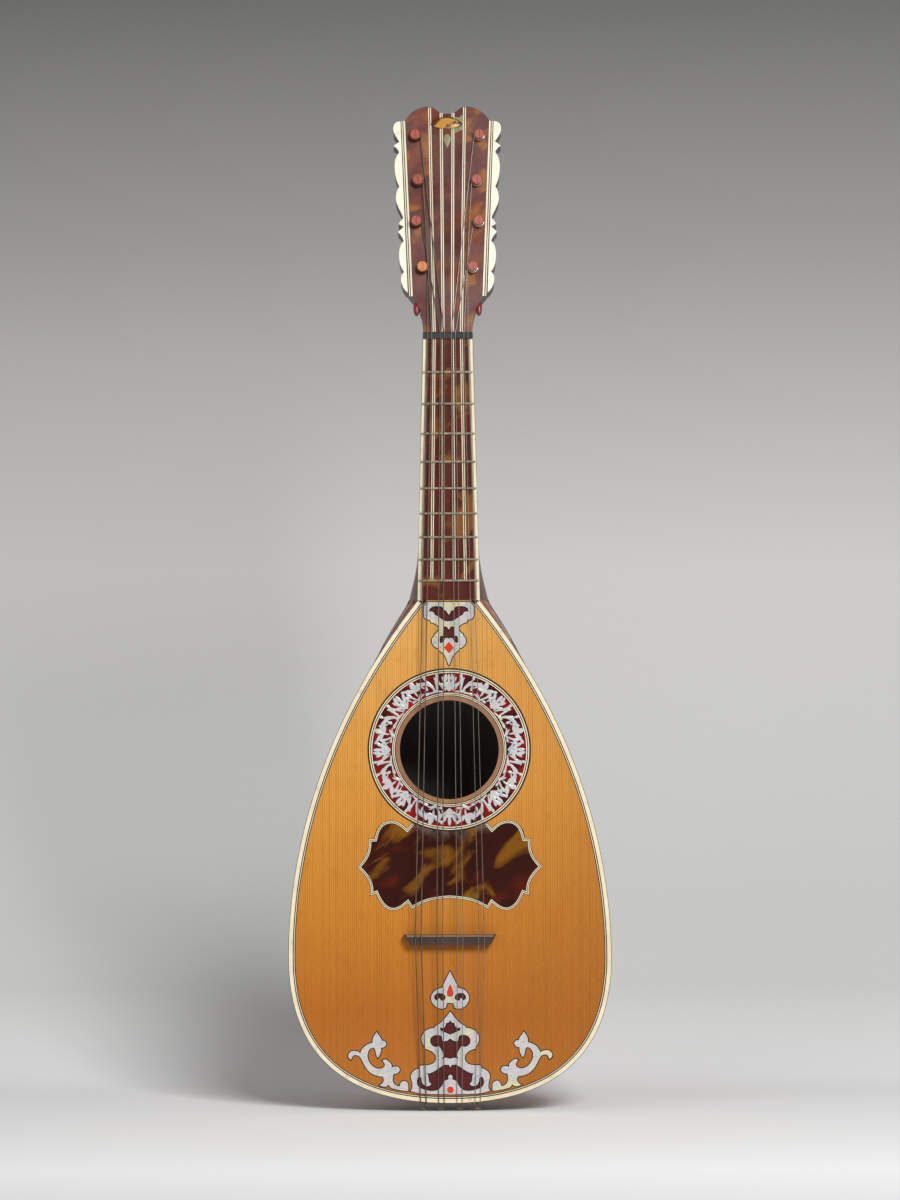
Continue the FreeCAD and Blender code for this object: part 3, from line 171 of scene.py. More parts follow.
# effects that several finishes share
def makeGrain():
    # long grain along Z: ring lines at a spacing across X, fine pores, and broad cloudy tone
    group, given, result = newGroup(
        "longGrain",
        {"Vector": ("Vector", None), "Spacing": ("Float", 1.1), "Waver": ("Float", 0.4)},
        {"Lines": "Float", "Pores": "Float", "Tone": "Float"},
    )
    slow = cloud(group, given["Vector"], (60, 60, 5), 2.0)
    parts = axes(group, given["Vector"])
    across = sums(group, "DIVIDE", times(group, parts[0], 1000.0), given["Spacing"])
    across = plus(group, across, times(group, slow, times(group, given["Waver"], 8.0)))
    late = sums(group, "POWER", sums(group, "FRACT", across), 3.0)
    each = step(group, "TexWhiteNoise", {"W": sums(group, "FLOOR", across)}, noise_dimensions="1D").outputs[0]
    lines = times(group, late, between(group, each, 0.0, 1.0, 0.35, 1.0))
    attach(group, lines, result["Lines"])
    fine = cloud(group, given["Vector"], (2600, 2600, 110), 2.0)
    attach(group, between(group, fine, 0.56, 0.72), result["Pores"])
    broad = cloud(group, given["Vector"], (26, 26, 9), 4.0)
    attach(group, broad, result["Tone"])
    return group


def makeMottle():
    # tortoiseshell masks: soft slanting blotches of amber and of red, and fine dark specks
    group, given, result = newGroup(
        "shellMottle",
        {"Vector": ("Vector", None), "Size": ("Float", 1.0), "Gold": ("Float", 0.0), "Flush": ("Float", 0.0)},
        {"Amber": "Float", "Red": "Float", "Speck": "Float", "Cloud": "Float"},
    )
    slanting = stretched(group, given["Vector"], (1, 1, 1), (0, math.radians(38), 0))
    scaled = sized(group, slanting, given["Size"])
    first = cloud(group, scaled, (40, 60, 74), 4.0, 0.5, 0.6)
    second = cloud(group, scaled, (60, 60, 90), 2.0, 0.5, 0.3, shift=(3, 1, 7))
    attach(group, between(group, plus(group, first, given["Gold"]), 0.52, 0.62), result["Amber"])
    attach(group, between(group, plus(group, second, given["Flush"]), 0.50, 0.70), result["Red"])
    attach(group, between(group, cloud(group, scaled, 420.0, 2.0), 0.52, 0.75), result["Speck"])
    attach(group, first, result["Cloud"])
    return group


def makeNacre():
    # mother-of-pearl: silver ground with drifting pink, blue, green and straw tints and fine growth lines
    group, given, result = newGroup(
        "nacreTint",
        {"Vector": ("Vector", None), "Straw": ("Float", 0.0)},
        {"Colour": "Color", "Lines": "Float"},
    )
    drift = cloud(group, given["Vector"], 105.0, 2.0, 0.6, 1.6)
    tint = ramp(group, drift, [
        (0.30, (178, 188, 200)), (0.42, (202, 204, 202)), (0.50, (212, 196, 202)),
        (0.58, (192, 204, 194)), (0.68, (214, 210, 192)),
    ])
    patch = between(group, plus(group, cloud(group, given["Vector"], 60.0, 1.0), given["Straw"]), 0.60, 0.66)
    tint = layered(group, tint, [(patch, 0.75, (222, 214, 164))])
    waves = cloud(group, given["Vector"], (300, 300, 1500), 3.0, 0.6, 1.0, turn=(0, 0.6, 0))
    shade = between(group, waves, 0.3, 0.7, 0.64, 0.94)
    grey = step(group, "CombineXYZ", {0: shade, 1: shade, 2: shade}).outputs[0]
    tint = blended(group, 1.0, tint, grey, "MULTIPLY")
    attach(group, tint, result["Colour"])
    attach(group, waves, result["Lines"])
    return group


def makeWear():
    # handling: dull smudges, grime that gathers in patches, and fine random scratches
    group, given, result = newGroup(
        "handWear",
        {"Vector": ("Vector", None), "Size": ("Float", 1.0)},
        {"Smudge": "Float", "Grime": "Float", "Scratch": "Float"},
    )
    scaled = sized(group, given["Vector"], given["Size"])
    attach(group, between(group, cloud(group, scaled, 38.0, 4.0), 0.35, 0.70), result["Smudge"])
    grime = between(group, cloud(group, scaled, (90, 90, 70), 5.0, 0.7), 0.55, 0.74)
    attach(group, grime, result["Grime"])
    hair = cloud(group, scaled, (240, 240, 4200), 2.0, turn=(0, 0.35, 0))
    attach(group, between(group, hair, 0.66, 0.74), result["Scratch"])
    return group


grainGroup = makeGrain()
mottleGroup = makeMottle()
nacreGroup = makeNacre()
wearGroup = makeWear()


def startFinish(name):
    # a material with its shader, and Object coordinates
    material = bpy.data.materials.new(name)
    material.use_nodes = True
    tree = material.node_tree
    tree.nodes.clear()
    shader = step(tree, "BsdfPrincipled")
    out = step(tree, "OutputMaterial")
    tree.links.new(shader.outputs[0], out.inputs[0])
    place = step(tree, "TexCoord").outputs["Object"]
    return material, tree, shader, place


def endFinish(material, shader, colour, roughness, height, strength, distance, **fixed):
    # what varies goes to its socket, the relief as a bump; fixed are plain values such as coat=0.4
    tree = material.node_tree
    attach(tree, colour, shader.inputs["Base Color"])
    attach(tree, roughness, shader.inputs["Roughness"])
    if height is not None:
        inputs = {"Height": height, "Strength": strength, "Distance": distance}
        attach(tree, step(tree, "Bump", inputs).outputs[0], shader.inputs["Normal"])
    for name, value in fixed.items():
        shader.inputs[fixedSockets[name]].default_value = value
    return material


fixedSockets = {
    "coat": "Coat Weight", "coatRoughness": "Coat Roughness", "specular": "Specular IOR Level", "metallic": "Metallic",
}


def grainOf(tree, place, spacing, waver):
    return placeGroup(tree, grainGroup, {"Vector": place, "Spacing": spacing, "Waver": waver})


def wearOf(tree, place, size):
    return placeGroup(tree, wearGroup, {"Vector": place, "Size": size})


def glossFrom(tree, mask, gloss):
    # roughness between two values, by a mask
    return between(tree, mask, 0, 1, *gloss)


# shares are those of the broad tone, the grain lines, the pores and the grime
wood = {"waver": 0.4, "shares": (0.5, 0.5, 0.3, 0.25), "relief": 0.00002}


def woodFinish(name, pale, dark, spacing=1.1, gloss=(0.32, 0.5), coat=0.0):
    # plain wood between two colours, with its grain along Z
    material, tree, shader, place = startFinish(name)
    grain = grainOf(tree, place, spacing, wood["waver"])
    wear = wearOf(tree, place, 1.0)
    masks = (between(tree, grain["Tone"], 0.32, 0.68), grain["Lines"], grain["Pores"], wear["Grime"])
    colour = layered(tree, pale, [(mask, share, dark) for mask, share in zip(masks, wood["shares"])])
    dull = glossFrom(tree, wear["Smudge"], gloss)
    return endFinish(
        material, shader, colour, dull, grain["Lines"], 0.4, wood["relief"], coat=coat, coatRoughness=0.18)


def spruceFinish(name):
    # the soundboard darkens to orange near the tail, is palest by the neck, and is grimy by the bridge
    material, tree, shader, place = startFinish(name)
    parts = axes(tree, place)
    grain = grainOf(tree, place, 1.25, 0.25)
    wear = wearOf(tree, place, 1.2)
    height = ramp(tree, between(tree, parts[2], 0.0, 0.28), [
        (0.0, (168, 102, 34)), (0.18, (164, 93, 18)), (0.36, (184, 117, 29)),
        (0.62, (203, 142, 54)), (1.0, (214, 166, 88)),
    ])
    side = between(tree, parts[0], 0.0, 0.085)
    shade = times(tree, side, between(tree, parts[2], 0.03, 0.16, 0.45, 0.0))
    # pale flecks across the grain: the spruce's silk, partly its own colour and partly a painted sheen
    silkAndSheen = between(tree, cloud(tree, place, (420, 420, 1900)), 0.5, 0.8, 0.0, 0.14)
    nick = between(tree, cloud(tree, place, 520.0, 2.0), 0.74, 0.78, 0.0, 0.8)
    colour = layered(tree, height, [
        (side, 0.55, (160, 100, 30)), (shade, 1, (104, 54, 8)),
        (between(tree, grain["Tone"], 0.3, 0.7), 0.3, (186, 106, 24)), (grain["Lines"], 0.85, (118, 62, 12)),
        (grain["Pores"], 0.34, (124, 66, 16)), (silkAndSheen, 1, (222, 168, 84)), (wear["Grime"], 0.25, (124, 68, 18)),
        (nick, 1, (84, 46, 18)),
    ])
    dull = glossFrom(tree, wear["Smudge"], (0.42, 0.6))
    return endFinish(material, shader, colour, dull, grain["Lines"], 0.1, wood["relief"], specular=0.22)


def mapleFinish(name):
    # bowl ribs: orange-brown varnish over maple whose flames cross the rib
    material, tree, shader, place = startFinish(name)
    grain = grainOf(tree, place, 1.8, 0.8)
    wear = wearOf(tree, place, 1.5)
    flame = cloud(tree, place, (38, 38, 210), 3.0, 0.5, 0.7)
    # faces that look inward, towards the line x = 0, y = 0, are the bowl's dark lining
    directions = {0: step(tree, "NewGeometry").outputs["Normal"], 1: stretched(tree, place, (1, 1, 0))}
    outward = step(tree, "VectorMath", directions, operation="DOT_PRODUCT").outputs["Value"]
    lining = between(tree, outward, -0.012, 0.0, 1.0, 0.0)
    colour = layered(tree, (186, 104, 40), [
        (between(tree, flame, 0.38, 0.64), 1, (120, 56, 22)), (grain["Lines"], 0.3, (92, 42, 18)),
        (wear["Grime"], 0.35, (64, 30, 16)), (lining, 1, (126, 124, 120)),
    ])
    dull = plus(tree, glossFrom(tree, wear["Smudge"], (0.22, 0.42)), times(tree, lining, 0.5))
    attach(tree, between(tree, lining, 0.0, 1.0, 0.4, 0.0), shader.inputs["Coat Weight"])
    return endFinish(material, shader, colour, dull, flame, 0.25, 0.0001, coatRoughness=0.15, specular=0.4)


def shellFinish(
    name, size=1.0, amber=0.0, red=0.0, ground=(52, 22, 18), gold=(122, 76, 20), flush=(104, 34, 22),
    dusty=False, centre=0.0, sheen=1.0,
):
    # tortoiseshell; centre is the half-width of a redder strip along the middle, for the head
    material, tree, shader, place = startFinish(name)
    mottle = placeGroup(tree, mottleGroup, {"Vector": place, "Size": size, "Gold": amber, "Flush": red})
    wear = wearOf(tree, place, 0.8)
    layers = [(mottle["Red"], 0.75, flush), (mottle["Amber"], 1, gold)]
    layers.append((mottle["Speck"], 0.35, [part * 0.7 for part in ground]))
    if centre:
        across = sums(tree, "ABSOLUTE", axes(tree, place)[0])
        middle = between(tree, across, centre, centre + 0.0005, 0.8, 0.0)
        layers.append((middle, 1, blended(tree, mottle["Red"], (72, 30, 26), (120, 34, 22))))
    if dusty:
        # dull grey dust lies just below the rosette's rim, and the shell is greener at its foot
        shifted = stretched(tree, place, (1, 0, 1), shift=(0, 0, -0.1955))
        away = step(tree, "VectorMath", {0: shifted}, operation="LENGTH").outputs["Value"]
        near = between(tree, away, 0.0455, 0.0515, 1.0, 0.0)
        patch = between(tree, cloud(tree, place, 120.0, 3.0), 0.44, 0.60)
        layers.append((times(tree, near, patch), 0.6, (112, 100, 92)))
        foot = between(tree, axes(tree, place)[2], 0.1125, 0.1175, 0.4, 0.0)
        layers.append((mottle["Amber"], foot, (112, 98, 34)))
    layers.append((wear["Scratch"], 0.14, (150, 120, 96)))
    return endFinish(
        material, shader, layered(tree, ground, layers), glossFrom(tree, wear["Smudge"], (0.16, 0.38)),
        mottle["Cloud"], 0.2, 0.00008, specular=0.3 * sheen, coat=0.12 * sheen, coatRoughness=0.12,
    )


def pearlFinish(name, straw=0.0):
    # mother-of-pearl; a larger straw gives more yellow patches
    material, tree, shader, place = startFinish(name)
    nacre = placeGroup(tree, nacreGroup, {"Vector": place, "Straw": straw})
    wear = wearOf(tree, place, 0.5)
    colour = layered(tree, nacre["Colour"], [(wear["Grime"], 0.35, (150, 138, 122))])
    dull = glossFrom(tree, wear["Smudge"], (0.16, 0.34))
    return endFinish(material, shader, colour, dull, nacre["Lines"], 0.25, 0.00004, coat=0.4, coatRoughness=0.1)


def ivoryFinish(name, pale=(226, 216, 188), old=(178, 152, 104), aged=0.35, joints=0.0):
    # ivory with faint long grain and yellowed patches; joints draws slanting seams along a strip
    material, tree, shader, place = startFinish(name)
    grain = grainOf(tree, place, 0.45, 0.5)
    wear = wearOf(tree, place, 0.6)
    layers = [(grain["Lines"], 0.18, old), (wear["Smudge"], aged, old)]
    if joints:
        strip = axes(tree, step(tree, "UVMap").outputs[0])
        slant = plus(tree, sums(tree, "DIVIDE", strip[0], joints), times(tree, strip[1], 1.1))
        seam = between(tree, sums(tree, "PINGPONG", slant, 0.5), 0.0, 0.004, 0.5, 0.0)
        layers.append((seam, 1, (120, 92, 58)))
    layers.append((wear["Grime"], 0.4, (116, 90, 60)))
    dull = glossFrom(tree, wear["Smudge"], (0.26, 0.45))
    return endFinish(material, shader, layered(tree, pale, layers), dull, wear["Scratch"], 0.3, 0.00003)


def pasteFinish(name, colour, worn, gloss=(0.3, 0.5)):
    # filled ground or stained line: even colour with grime, pits and dull wear
    material, tree, shader, place = startFinish(name)
    wear = wearOf(tree, place, 0.4)
    pits = cloud(tree, place, 2400.0, 3.0)
    shade = layered(tree, colour, [(wear["Grime"], 0.5, worn), (between(tree, pits, 0.5, 0.8, 0.0, 0.35), 1, worn)])
    return endFinish(material, shader, shade, glossFrom(tree, wear["Smudge"], gloss), pits, 0.3, 0.00005, specular=0.3)


def metalFinish(name, colour, dull, gloss=(0.22, 0.42), turns=0.0):
    # drawn or wound metal: turns is the pitch of a fine winding along Z
    material, tree, shader, place = startFinish(name)
    wear = wearOf(tree, place, 0.4)
    layers, wave = [(wear["Smudge"], 0.6, dull)], None
    if turns:
        wave = sums(tree, "PINGPONG", sums(tree, "DIVIDE", axes(tree, place)[2], turns), 0.5)
        # the dark line at each turn is painted shade in the groove between wraps
        layers.append((between(tree, wave, 0.0, 0.18, 0.8, 0.0), 1, (70, 58, 46)))
    shade, rough = layered(tree, colour, layers), glossFrom(tree, wear["Grime"], gloss)
    return endFinish(material, shader, shade, rough, wave, 0.6, 0.00008, metallic=0.85)


finishes = {
    "rib_maple": mapleFinish("ribMaple"),
    "spruce": spruceFinish("goldenSpruce"),
    "ivory_edge": ivoryFinish("ivoryEdge"),
    "edge_lines": pasteFinish("edgeLineDark", (44, 26, 18), (86, 60, 40)),
    "ring_lines": ivoryFinish("ringIvory", aged=0.5),
    "red_mastic": shellFinish(
        "redMastic", size=0.9, amber=-0.3, red=0.06, ground=(62, 15, 15), flush=(156, 26, 16), sheen=0.5),
    "pearl": pearlFinish("motherOfPearl"),
    "tortoiseshell": shellFinish(
        "tortoiseshell", red=0.02, ground=(78, 36, 28), gold=(124, 78, 34), flush=(104, 34, 26), sheen=0.5),
    "guard_lines": ivoryFinish("guardIvory", aged=0.5),
    "clasp_wood": woodFinish("darkVeneer", (84, 46, 24), (34, 18, 12), spacing=1.4, coat=0.3),
    "inner_wood": woodFinish("bareSpruce", (196, 152, 98), (146, 100, 56), gloss=(0.6, 0.8)),
    "neck_wood": woodFinish("neckWood", (96, 46, 22), (42, 20, 12), spacing=1.6, coat=0.4),
    "stripe_lines": ivoryFinish("stripeIvory", aged=0.4),
    "fret_metal": metalFinish("fretMetal", (214, 206, 180), (150, 138, 108)),
    "ebony": woodFinish("ebony", (40, 40, 44), (18, 17, 18), spacing=0.7, gloss=(0.28, 0.45)),
    "head_wood": woodFinish("headWood", (64, 34, 22), (26, 14, 10), spacing=1.3),
    "ivory_plate": ivoryFinish("ivoryPlate", pale=(224, 219, 200), old=(200, 184, 146), aged=0.3),
    "amber_horn": shellFinish("amberHorn", size=0.4, amber=0.08, ground=(84, 50, 20), gold=(176, 130, 56)),
    # this bone is much darker than bone: painted shade, as the hitch pins lie under the edge at the tail
    "bone": ivoryFinish("bone", pale=(150, 132, 102), old=(96, 76, 52), aged=0.5),
    "bridge_wood": woodFinish("bridgeWood", (60, 40, 34), (32, 20, 18), spacing=0.9),
    # the strings' dull brown-grey is partly old metal and partly painted shade, standing in for the shadows they cast
    # on the board
    "wound_string": metalFinish("woundString", (116, 106, 96), (70, 61, 52), gloss=(0.42, 0.6), turns=0.00034),
    "plain_string": metalFinish("plainString", (146, 140, 130), (88, 80, 70), gloss=(0.38, 0.55)),
    "peg_wood": woodFinish("pegWood", (162, 66, 34), (66, 22, 14), spacing=0.5, gloss=(0.25, 0.45), coat=0.2),
}
darkLine = pasteFinish("darkLine", (22, 15, 13), (46, 32, 24))
paleLine = finishes["stripe_lines"]
guardShell = shellFinish(
    "guardShell", size=1.15, red=-0.04, ground=(50, 20, 14), gold=(116, 72, 16), flush=(86, 28, 16),
    dusty=True, sheen=0.25)
headShell = shellFinish(
    "headShell", ground=(88, 48, 44), gold=(134, 82, 38), flush=(116, 54, 34), centre=0.0085, sheen=0.9)
amberPeg = woodFinish("amberPeg", (188, 112, 50), (116, 60, 26), spacing=0.7, gloss=(0.2, 0.4), coat=0.3)
# the saddle is paler than the bridge wood; part of that paleness is a painted highlight along the bridge's crest
saddleAndHighlight = woodFinish("saddleAndHighlight", (128, 104, 84), (70, 50, 40), spacing=0.6)

# each node takes the finish of its slot, and a few take one of their own
for row in frame["record"]["subparts"]:
    holder = nodes[row["node"]]
    holder.data.materials.clear()
    holder.data.materials.append(finishes[row["material_slot"]])
ownFinishes = {
    "pickguard": guardShell, "head_face": headShell, "bridge_saddle": saddleAndHighlight, "peg_1": amberPeg,
    "upper_ornament": pearlFinish("strawPearl", straw=0.1),
    "ornament_grounds": pasteFinish("darkMastic", (78, 16, 14), (40, 12, 10)),
}
for name, material in ownFinishes.items():
    nodes[name].data.materials[0] = material
print("finishes placed:", len(finishes))


def linked(name, data):
    # an object for a mesh, lamp or camera, in the scene
    thing = bpy.data.objects.new(name, data)
    bpy.context.scene.collection.objects.link(thing)
    return thing


def newMesh(name, points, faces, materials, smooth):
    mesh = bpy.data.meshes.new(name)
    mesh.from_pydata(points.tolist(), [], faces)
    for material in materials:
        mesh.materials.append(material)
    mesh.polygons.foreach_set("use_smooth", np.full(len(mesh.polygons), smooth))
    return mesh


def makeObject(name, points, faces, materials, kinds=None, strip=None, *, slot, smooth=True):
    # one mesh object at the origin, riding on the instrument; kinds picks a material for each face
    mesh = newMesh(name, points, faces, materials, smooth)
    if kinds is not None:
        mesh.polygons.foreach_set("material_index", np.asarray(kinds, dtype=np.int32))
    if strip is not None:
        layer = mesh.uv_layers.new(name="UVMap")
        order = np.zeros(len(mesh.loops), dtype=np.int32)
        mesh.loops.foreach_get("vertex_index", order)
        layer.data.foreach_set("uv", strip[order].ravel())
    mesh.update()
    thing = linked(name, mesh)
    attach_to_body(thing, "instrument")
    return thing


def meshPart(name, kind):
    # the coordinates or normals of a node's mesh as rows of three
    vertices = nodes[name].data.vertices
    holder = np.empty(len(vertices) * 3)
    vertices.foreach_get(kind, holder)
    return holder.reshape(-1, 3)


def unit(rows):
    # each row as a vector of length one
    return rows / np.linalg.norm(rows, axis=1)[:, None]


def circle(count):
    # points round a circle of radius one
    angle = np.arange(count) * 2 * math.pi / count
    return np.stack([np.cos(angle), np.sin(angle)], axis=1)


def lengthAlong(points):
    # how far along a run of points each of them lies
    return np.concatenate(([0.0], np.cumsum(np.linalg.norm(np.diff(points, axis=0), axis=1))))


def smoothThrough(points, count):
    # natural cubic spline through the points by chord length: bends solves the usual band of equations
    points = np.asarray(points, dtype=float)
    steps = np.linalg.norm(np.diff(points, axis=0), axis=1)
    places = np.concatenate(([0.0], np.cumsum(steps)))
    total = len(points)
    system, sides = np.eye(total), np.zeros_like(points)
    inner = np.arange(1, total - 1)
    system[inner, inner - 1] = steps[:-1]
    system[inner, inner] = 2 * (steps[:-1] + steps[1:])
    system[inner, inner + 1] = steps[1:]
    sides[inner] = 6 * np.diff(np.diff(points, axis=0) / steps[:, None], axis=0)
    bends = np.linalg.solve(system, sides)
    wanted = np.linspace(0, places[-1], count)
    spot = np.clip(np.searchsorted(places, wanted, side="right") - 1, 0, total - 2)
    width = steps[spot][:, None]
    early = (places[spot + 1] - wanted)[:, None] / width
    late = 1 - early
    curve = early * points[spot] + late * points[spot + 1]
    return curve + ((early ** 3 - early) * bends[spot] + (late ** 3 - late) * bends[spot + 1]) * width ** 2 / 6


def closedOutline(stretches, spacing):
    # all stretches of an outline as one closed ring of points, corners kept
    runs = []
    for stretch in stretches:
        runs.append(smoothThrough(stretch, max(int(lengthAlong(stretch)[-1] / spacing), 2) + 1)[:-1])
    return np.concatenate(runs)


sharpest = 0.45  # at sharper corners than this cosine, lines get no longer mitres


def sideways(path, closed):
    # at each point of an x-z path, the mean normal of its two runs, lengthened so that offsets keep their width
    before = path - np.roll(path, 1, axis=0)
    after = np.roll(path, -1, axis=0) - path
    if not closed:
        before[0], after[-1] = after[0], before[-1]
    after = unit(after)
    mean = unit(unit(before) + after)
    mitre = np.clip((mean * after).sum(axis=1), sharpest, 1.0)[:, None]
    return np.stack([mean[:, 1], -mean[:, 0]], axis=1) / mitre


def turning(ring):
    # twice the signed area of a closed ring of points: positive when it turns left
    after = np.roll(ring, -1, axis=0)
    return (ring[:, 0] * after[:, 1] - after[:, 0] * ring[:, 1]).sum()


def sweptQuads(rows, columns, closed=False):
    # quads between neighbouring rows of a grid whose columns join round; closed joins the last row to the first
    here = np.arange(rows if closed else rows - 1)[:, None]
    there = (here + 1) % rows
    left = np.arange(columns)[None, :]
    right = (left + 1) % columns
    corners = [here * columns + left, here * columns + right, there * columns + right, there * columns + left]
    return np.stack(corners, axis=2).reshape(-1, 4)


def carryProfile(name, centres, across, up, profile, kinds, materials, closed, **rest):
    # point(i, j) = centre(i) + across(i) * profile(j, 0) + up(i) * profile(j, 1), the profile closed on itself
    profile = np.asarray(profile, dtype=float)
    rows, columns = len(centres), len(profile)
    grid = centres[:, None] + across[:, None] * profile[None, :, :1] + up[:, None] * profile[None, :, 1:2]
    quads = sweptQuads(rows, columns, closed)
    faceKinds = np.tile(kinds, len(quads) // columns)
    turn = np.dot(np.cross(across[0], up[0]), centres[1] - centres[0])
    flip = turn * turning(profile) < 0
    if flip:
        quads = quads[:, ::-1]
    faces = quads.tolist()
    if not closed:
        start = list(range(columns))[::-1]
        end = list(range((rows - 1) * columns, rows * columns))
        faces += [start[::-1], end[::-1]] if flip else [start, end]
        faceKinds = np.concatenate([faceKinds, [kinds[0], kinds[0]]])
    along, girth = lengthAlong(centres)[:, None], lengthAlong(profile)[None, :]
    strip = np.stack(np.broadcast_arrays(along, girth / girth[0, -1]), axis=2).reshape(-1, 2)
    return makeObject(name, grid.reshape(-1, 3), faces, materials, faceKinds, strip, **rest)


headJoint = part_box("nut")[1].z
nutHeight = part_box("nut")[0].z
headTilt = math.radians(15)


def onBoard(across, along, forward):
    # millimetres across, up and forward of the soundboard's front, as points in metres
    return np.stack(np.broadcast_arrays(across, -forward, along), axis=-1) * mm


def onHead(across, along, forward):
    # millimetres across the head, along it from the nut, and forward of its tilted face
    back = along * math.sin(headTilt) - forward * math.cos(headTilt)
    rise = along * math.cos(headTilt) + forward * math.sin(headTilt)
    return np.stack(np.broadcast_arrays(across, back, rise), axis=-1) * mm + np.array([0, 0, headJoint])


inlayLines = [darkLine, paleLine]  # kind 0 and kind 1 of a set of lines


def lineWidth(lines):
    return sum(width for width, kind in lines)


def flatLines(name, path, closed, lines, start, materials, lift=0.04, drop=0.3, rise=0.0, place=onBoard, **rest):
    # side-by-side inlay lines along an x-z path; lines are (width, kind), counted from start across the path
    normals = sideways(path, closed)
    centres = place(path[:, 0], path[:, 1], 0)
    across = place(path[:, 0] + normals[:, 0], path[:, 1] + normals[:, 1], 0) - centres
    up = place(path[:, 0], path[:, 1], 1) - centres
    tops = start + np.concatenate(([0.0], np.cumsum([width for width, kind in lines])))
    profile = [(top, lift + rise * rank) for rank, top in enumerate(tops)] + [(tops[-1], -drop), (tops[0], -drop)]
    kinds = [kind for width, kind in lines] + [lines[-1][1], lines[0][1], lines[0][1]]
    return carryProfile(name, centres, across, up, profile, kinds, materials, closed, smooth=False, **rest)


def straight(fromX, fromZ, toX, toZ, count=24):
    share = np.linspace(0, 1, count)[:, None]
    return np.array([fromX, fromZ]) * (1 - share) + np.array([toX, toZ]) * share


def cornered(corners, count):
    # a closed outline of straight runs between corners, with count points to a run
    runs = [straight(*first, *second, count)[:-1] for first, second in zip(corners, np.roll(corners, -1, axis=0))]
    return np.concatenate(runs)


def patch(name, edge, centre, materials, lift=0.05, dome=0.1, drop=0.25, place=onBoard, **rest):
    # point(s, t) = centre + s * (edge(t) - centre), raised by lift + dome * (1 - s * s), and closed behind
    shares = np.array([0.02, 0.35, 0.65, 0.88, 1.0, 1.0, 0.02])
    inFront = np.arange(len(shares)) < 5
    heights = np.where(inFront, lift + dome * (1 - shares ** 2), -drop)
    centre = np.asarray(centre)
    flatPoints = centre + shares[:, None, None] * (edge - centre)
    points = place(flatPoints[:, :, 0], flatPoints[:, :, 1], heights[:, None])
    rows, columns = points.shape[:2]
    faces = sweptQuads(rows, columns)[:, [0, 3, 2, 1]].tolist()
    faces += [list(range(columns)), list(range((rows - 1) * columns, rows * columns))[::-1]]
    if turning(edge) <= 0:
        faces = [face[::-1] for face in faces]
    return makeObject(name, points.reshape(-1, 3), faces, materials, **rest)


board = {
    "length": 278.1, "halfWidth": 89.4, "widest": 80.5, "tailReach": 65.5, "cornerReach": 46.5,
    "sideReach": 55.0, "shoulderReach": 89.5, "shoulderAngle": 38.5, "jointHalf": 17.2,
    "bindingWidth": 2.3, "purflingWidth": 1.6, "thickness": 2.6,
    "bindingLines": [(2.02, 0), (0.25, 1)],
    "purflingLines": [(0.5, 0), (0.4, 1), (0.58, 0), (0.12, 1)],
    "jointSpacing": 0.061,
}


def boardEdge(inset, count=150):
    # two cubic curves a side, moved inward along their normal, from the neck round the tail and back
    lean = math.radians(board["shoulderAngle"])
    half, widest, reach = board["halfWidth"], board["widest"], board["shoulderReach"]
    tail = np.array([
        (0, 0), (board["tailReach"], 0), (half, widest - board["cornerReach"]), (half, widest),
    ], dtype=float)
    shoulder = np.array([
        (half, widest), (half, widest + board["sideReach"]),
        (board["jointHalf"] + reach * math.sin(lean), board["length"] - reach * math.cos(lean)),
        (board["jointHalf"], board["length"]),
    ], dtype=float)
    share = np.linspace(0, 1, count)[:, None]
    rest = 1 - share
    runs = []
    for curve in (tail, shoulder):
        place = rest ** 3 * curve[0] + 3 * share * rest ** 2 * curve[1]
        place = place + 3 * share ** 2 * rest * curve[2] + share ** 3 * curve[3]
        pull = np.diff(curve, axis=0)
        slope = unit(rest ** 2 * pull[0] + 2 * share * rest * pull[1] + share ** 2 * pull[2])
        runs.append(place + inset * np.stack([-slope[:, 1], slope[:, 0]], axis=1))
    right = np.concatenate([runs[0], runs[1][1:]])
    right = right[right[:, 1] <= board["length"]]
    left = right[::-1] * np.array([-1, 1])
    return np.concatenate([left[:-1], right])


def makeEdges():
    seams = ivoryFinish("bindingIvory", joints=board["jointSpacing"])
    binding = flatLines(
        "ivory_binding", boardEdge(0.0), False, board["bindingLines"], -board["bindingWidth"], [seams, darkLine],
        lift=0.0, drop=board["thickness"], slot="ivory_edge",
    )
    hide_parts("edge_binding")
    purfling = flatLines(
        "purfling_lines", boardEdge(board["bindingWidth"]), False, board["purflingLines"], -board["purflingWidth"],
        inlayLines, lift=0.0, drop=board["thickness"], slot="edge_lines",
    )
    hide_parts("edge_purfling")


makeEdges()
print("edge lines made")


rosette = {
    "height": 195.5, "holeRadius": 27.4, "innerRadius": 29.7, "foliageInner": 31.5, "foliageOuter": 42.6,
    "innerLines": [(0.45, 0), (0.42, 1), (0.45, 0), (0.46, 1)],
    "outerLines": [(0.55, 1), (0.55, 0), (0.55, 1), (0.93, 0)],
    "lipWidth": 2.25, "steps": 180, "sectors": 4,
    "bladeHeights": (-0.02, 0.07, -0.32), "bladeRise": 0.006,
}
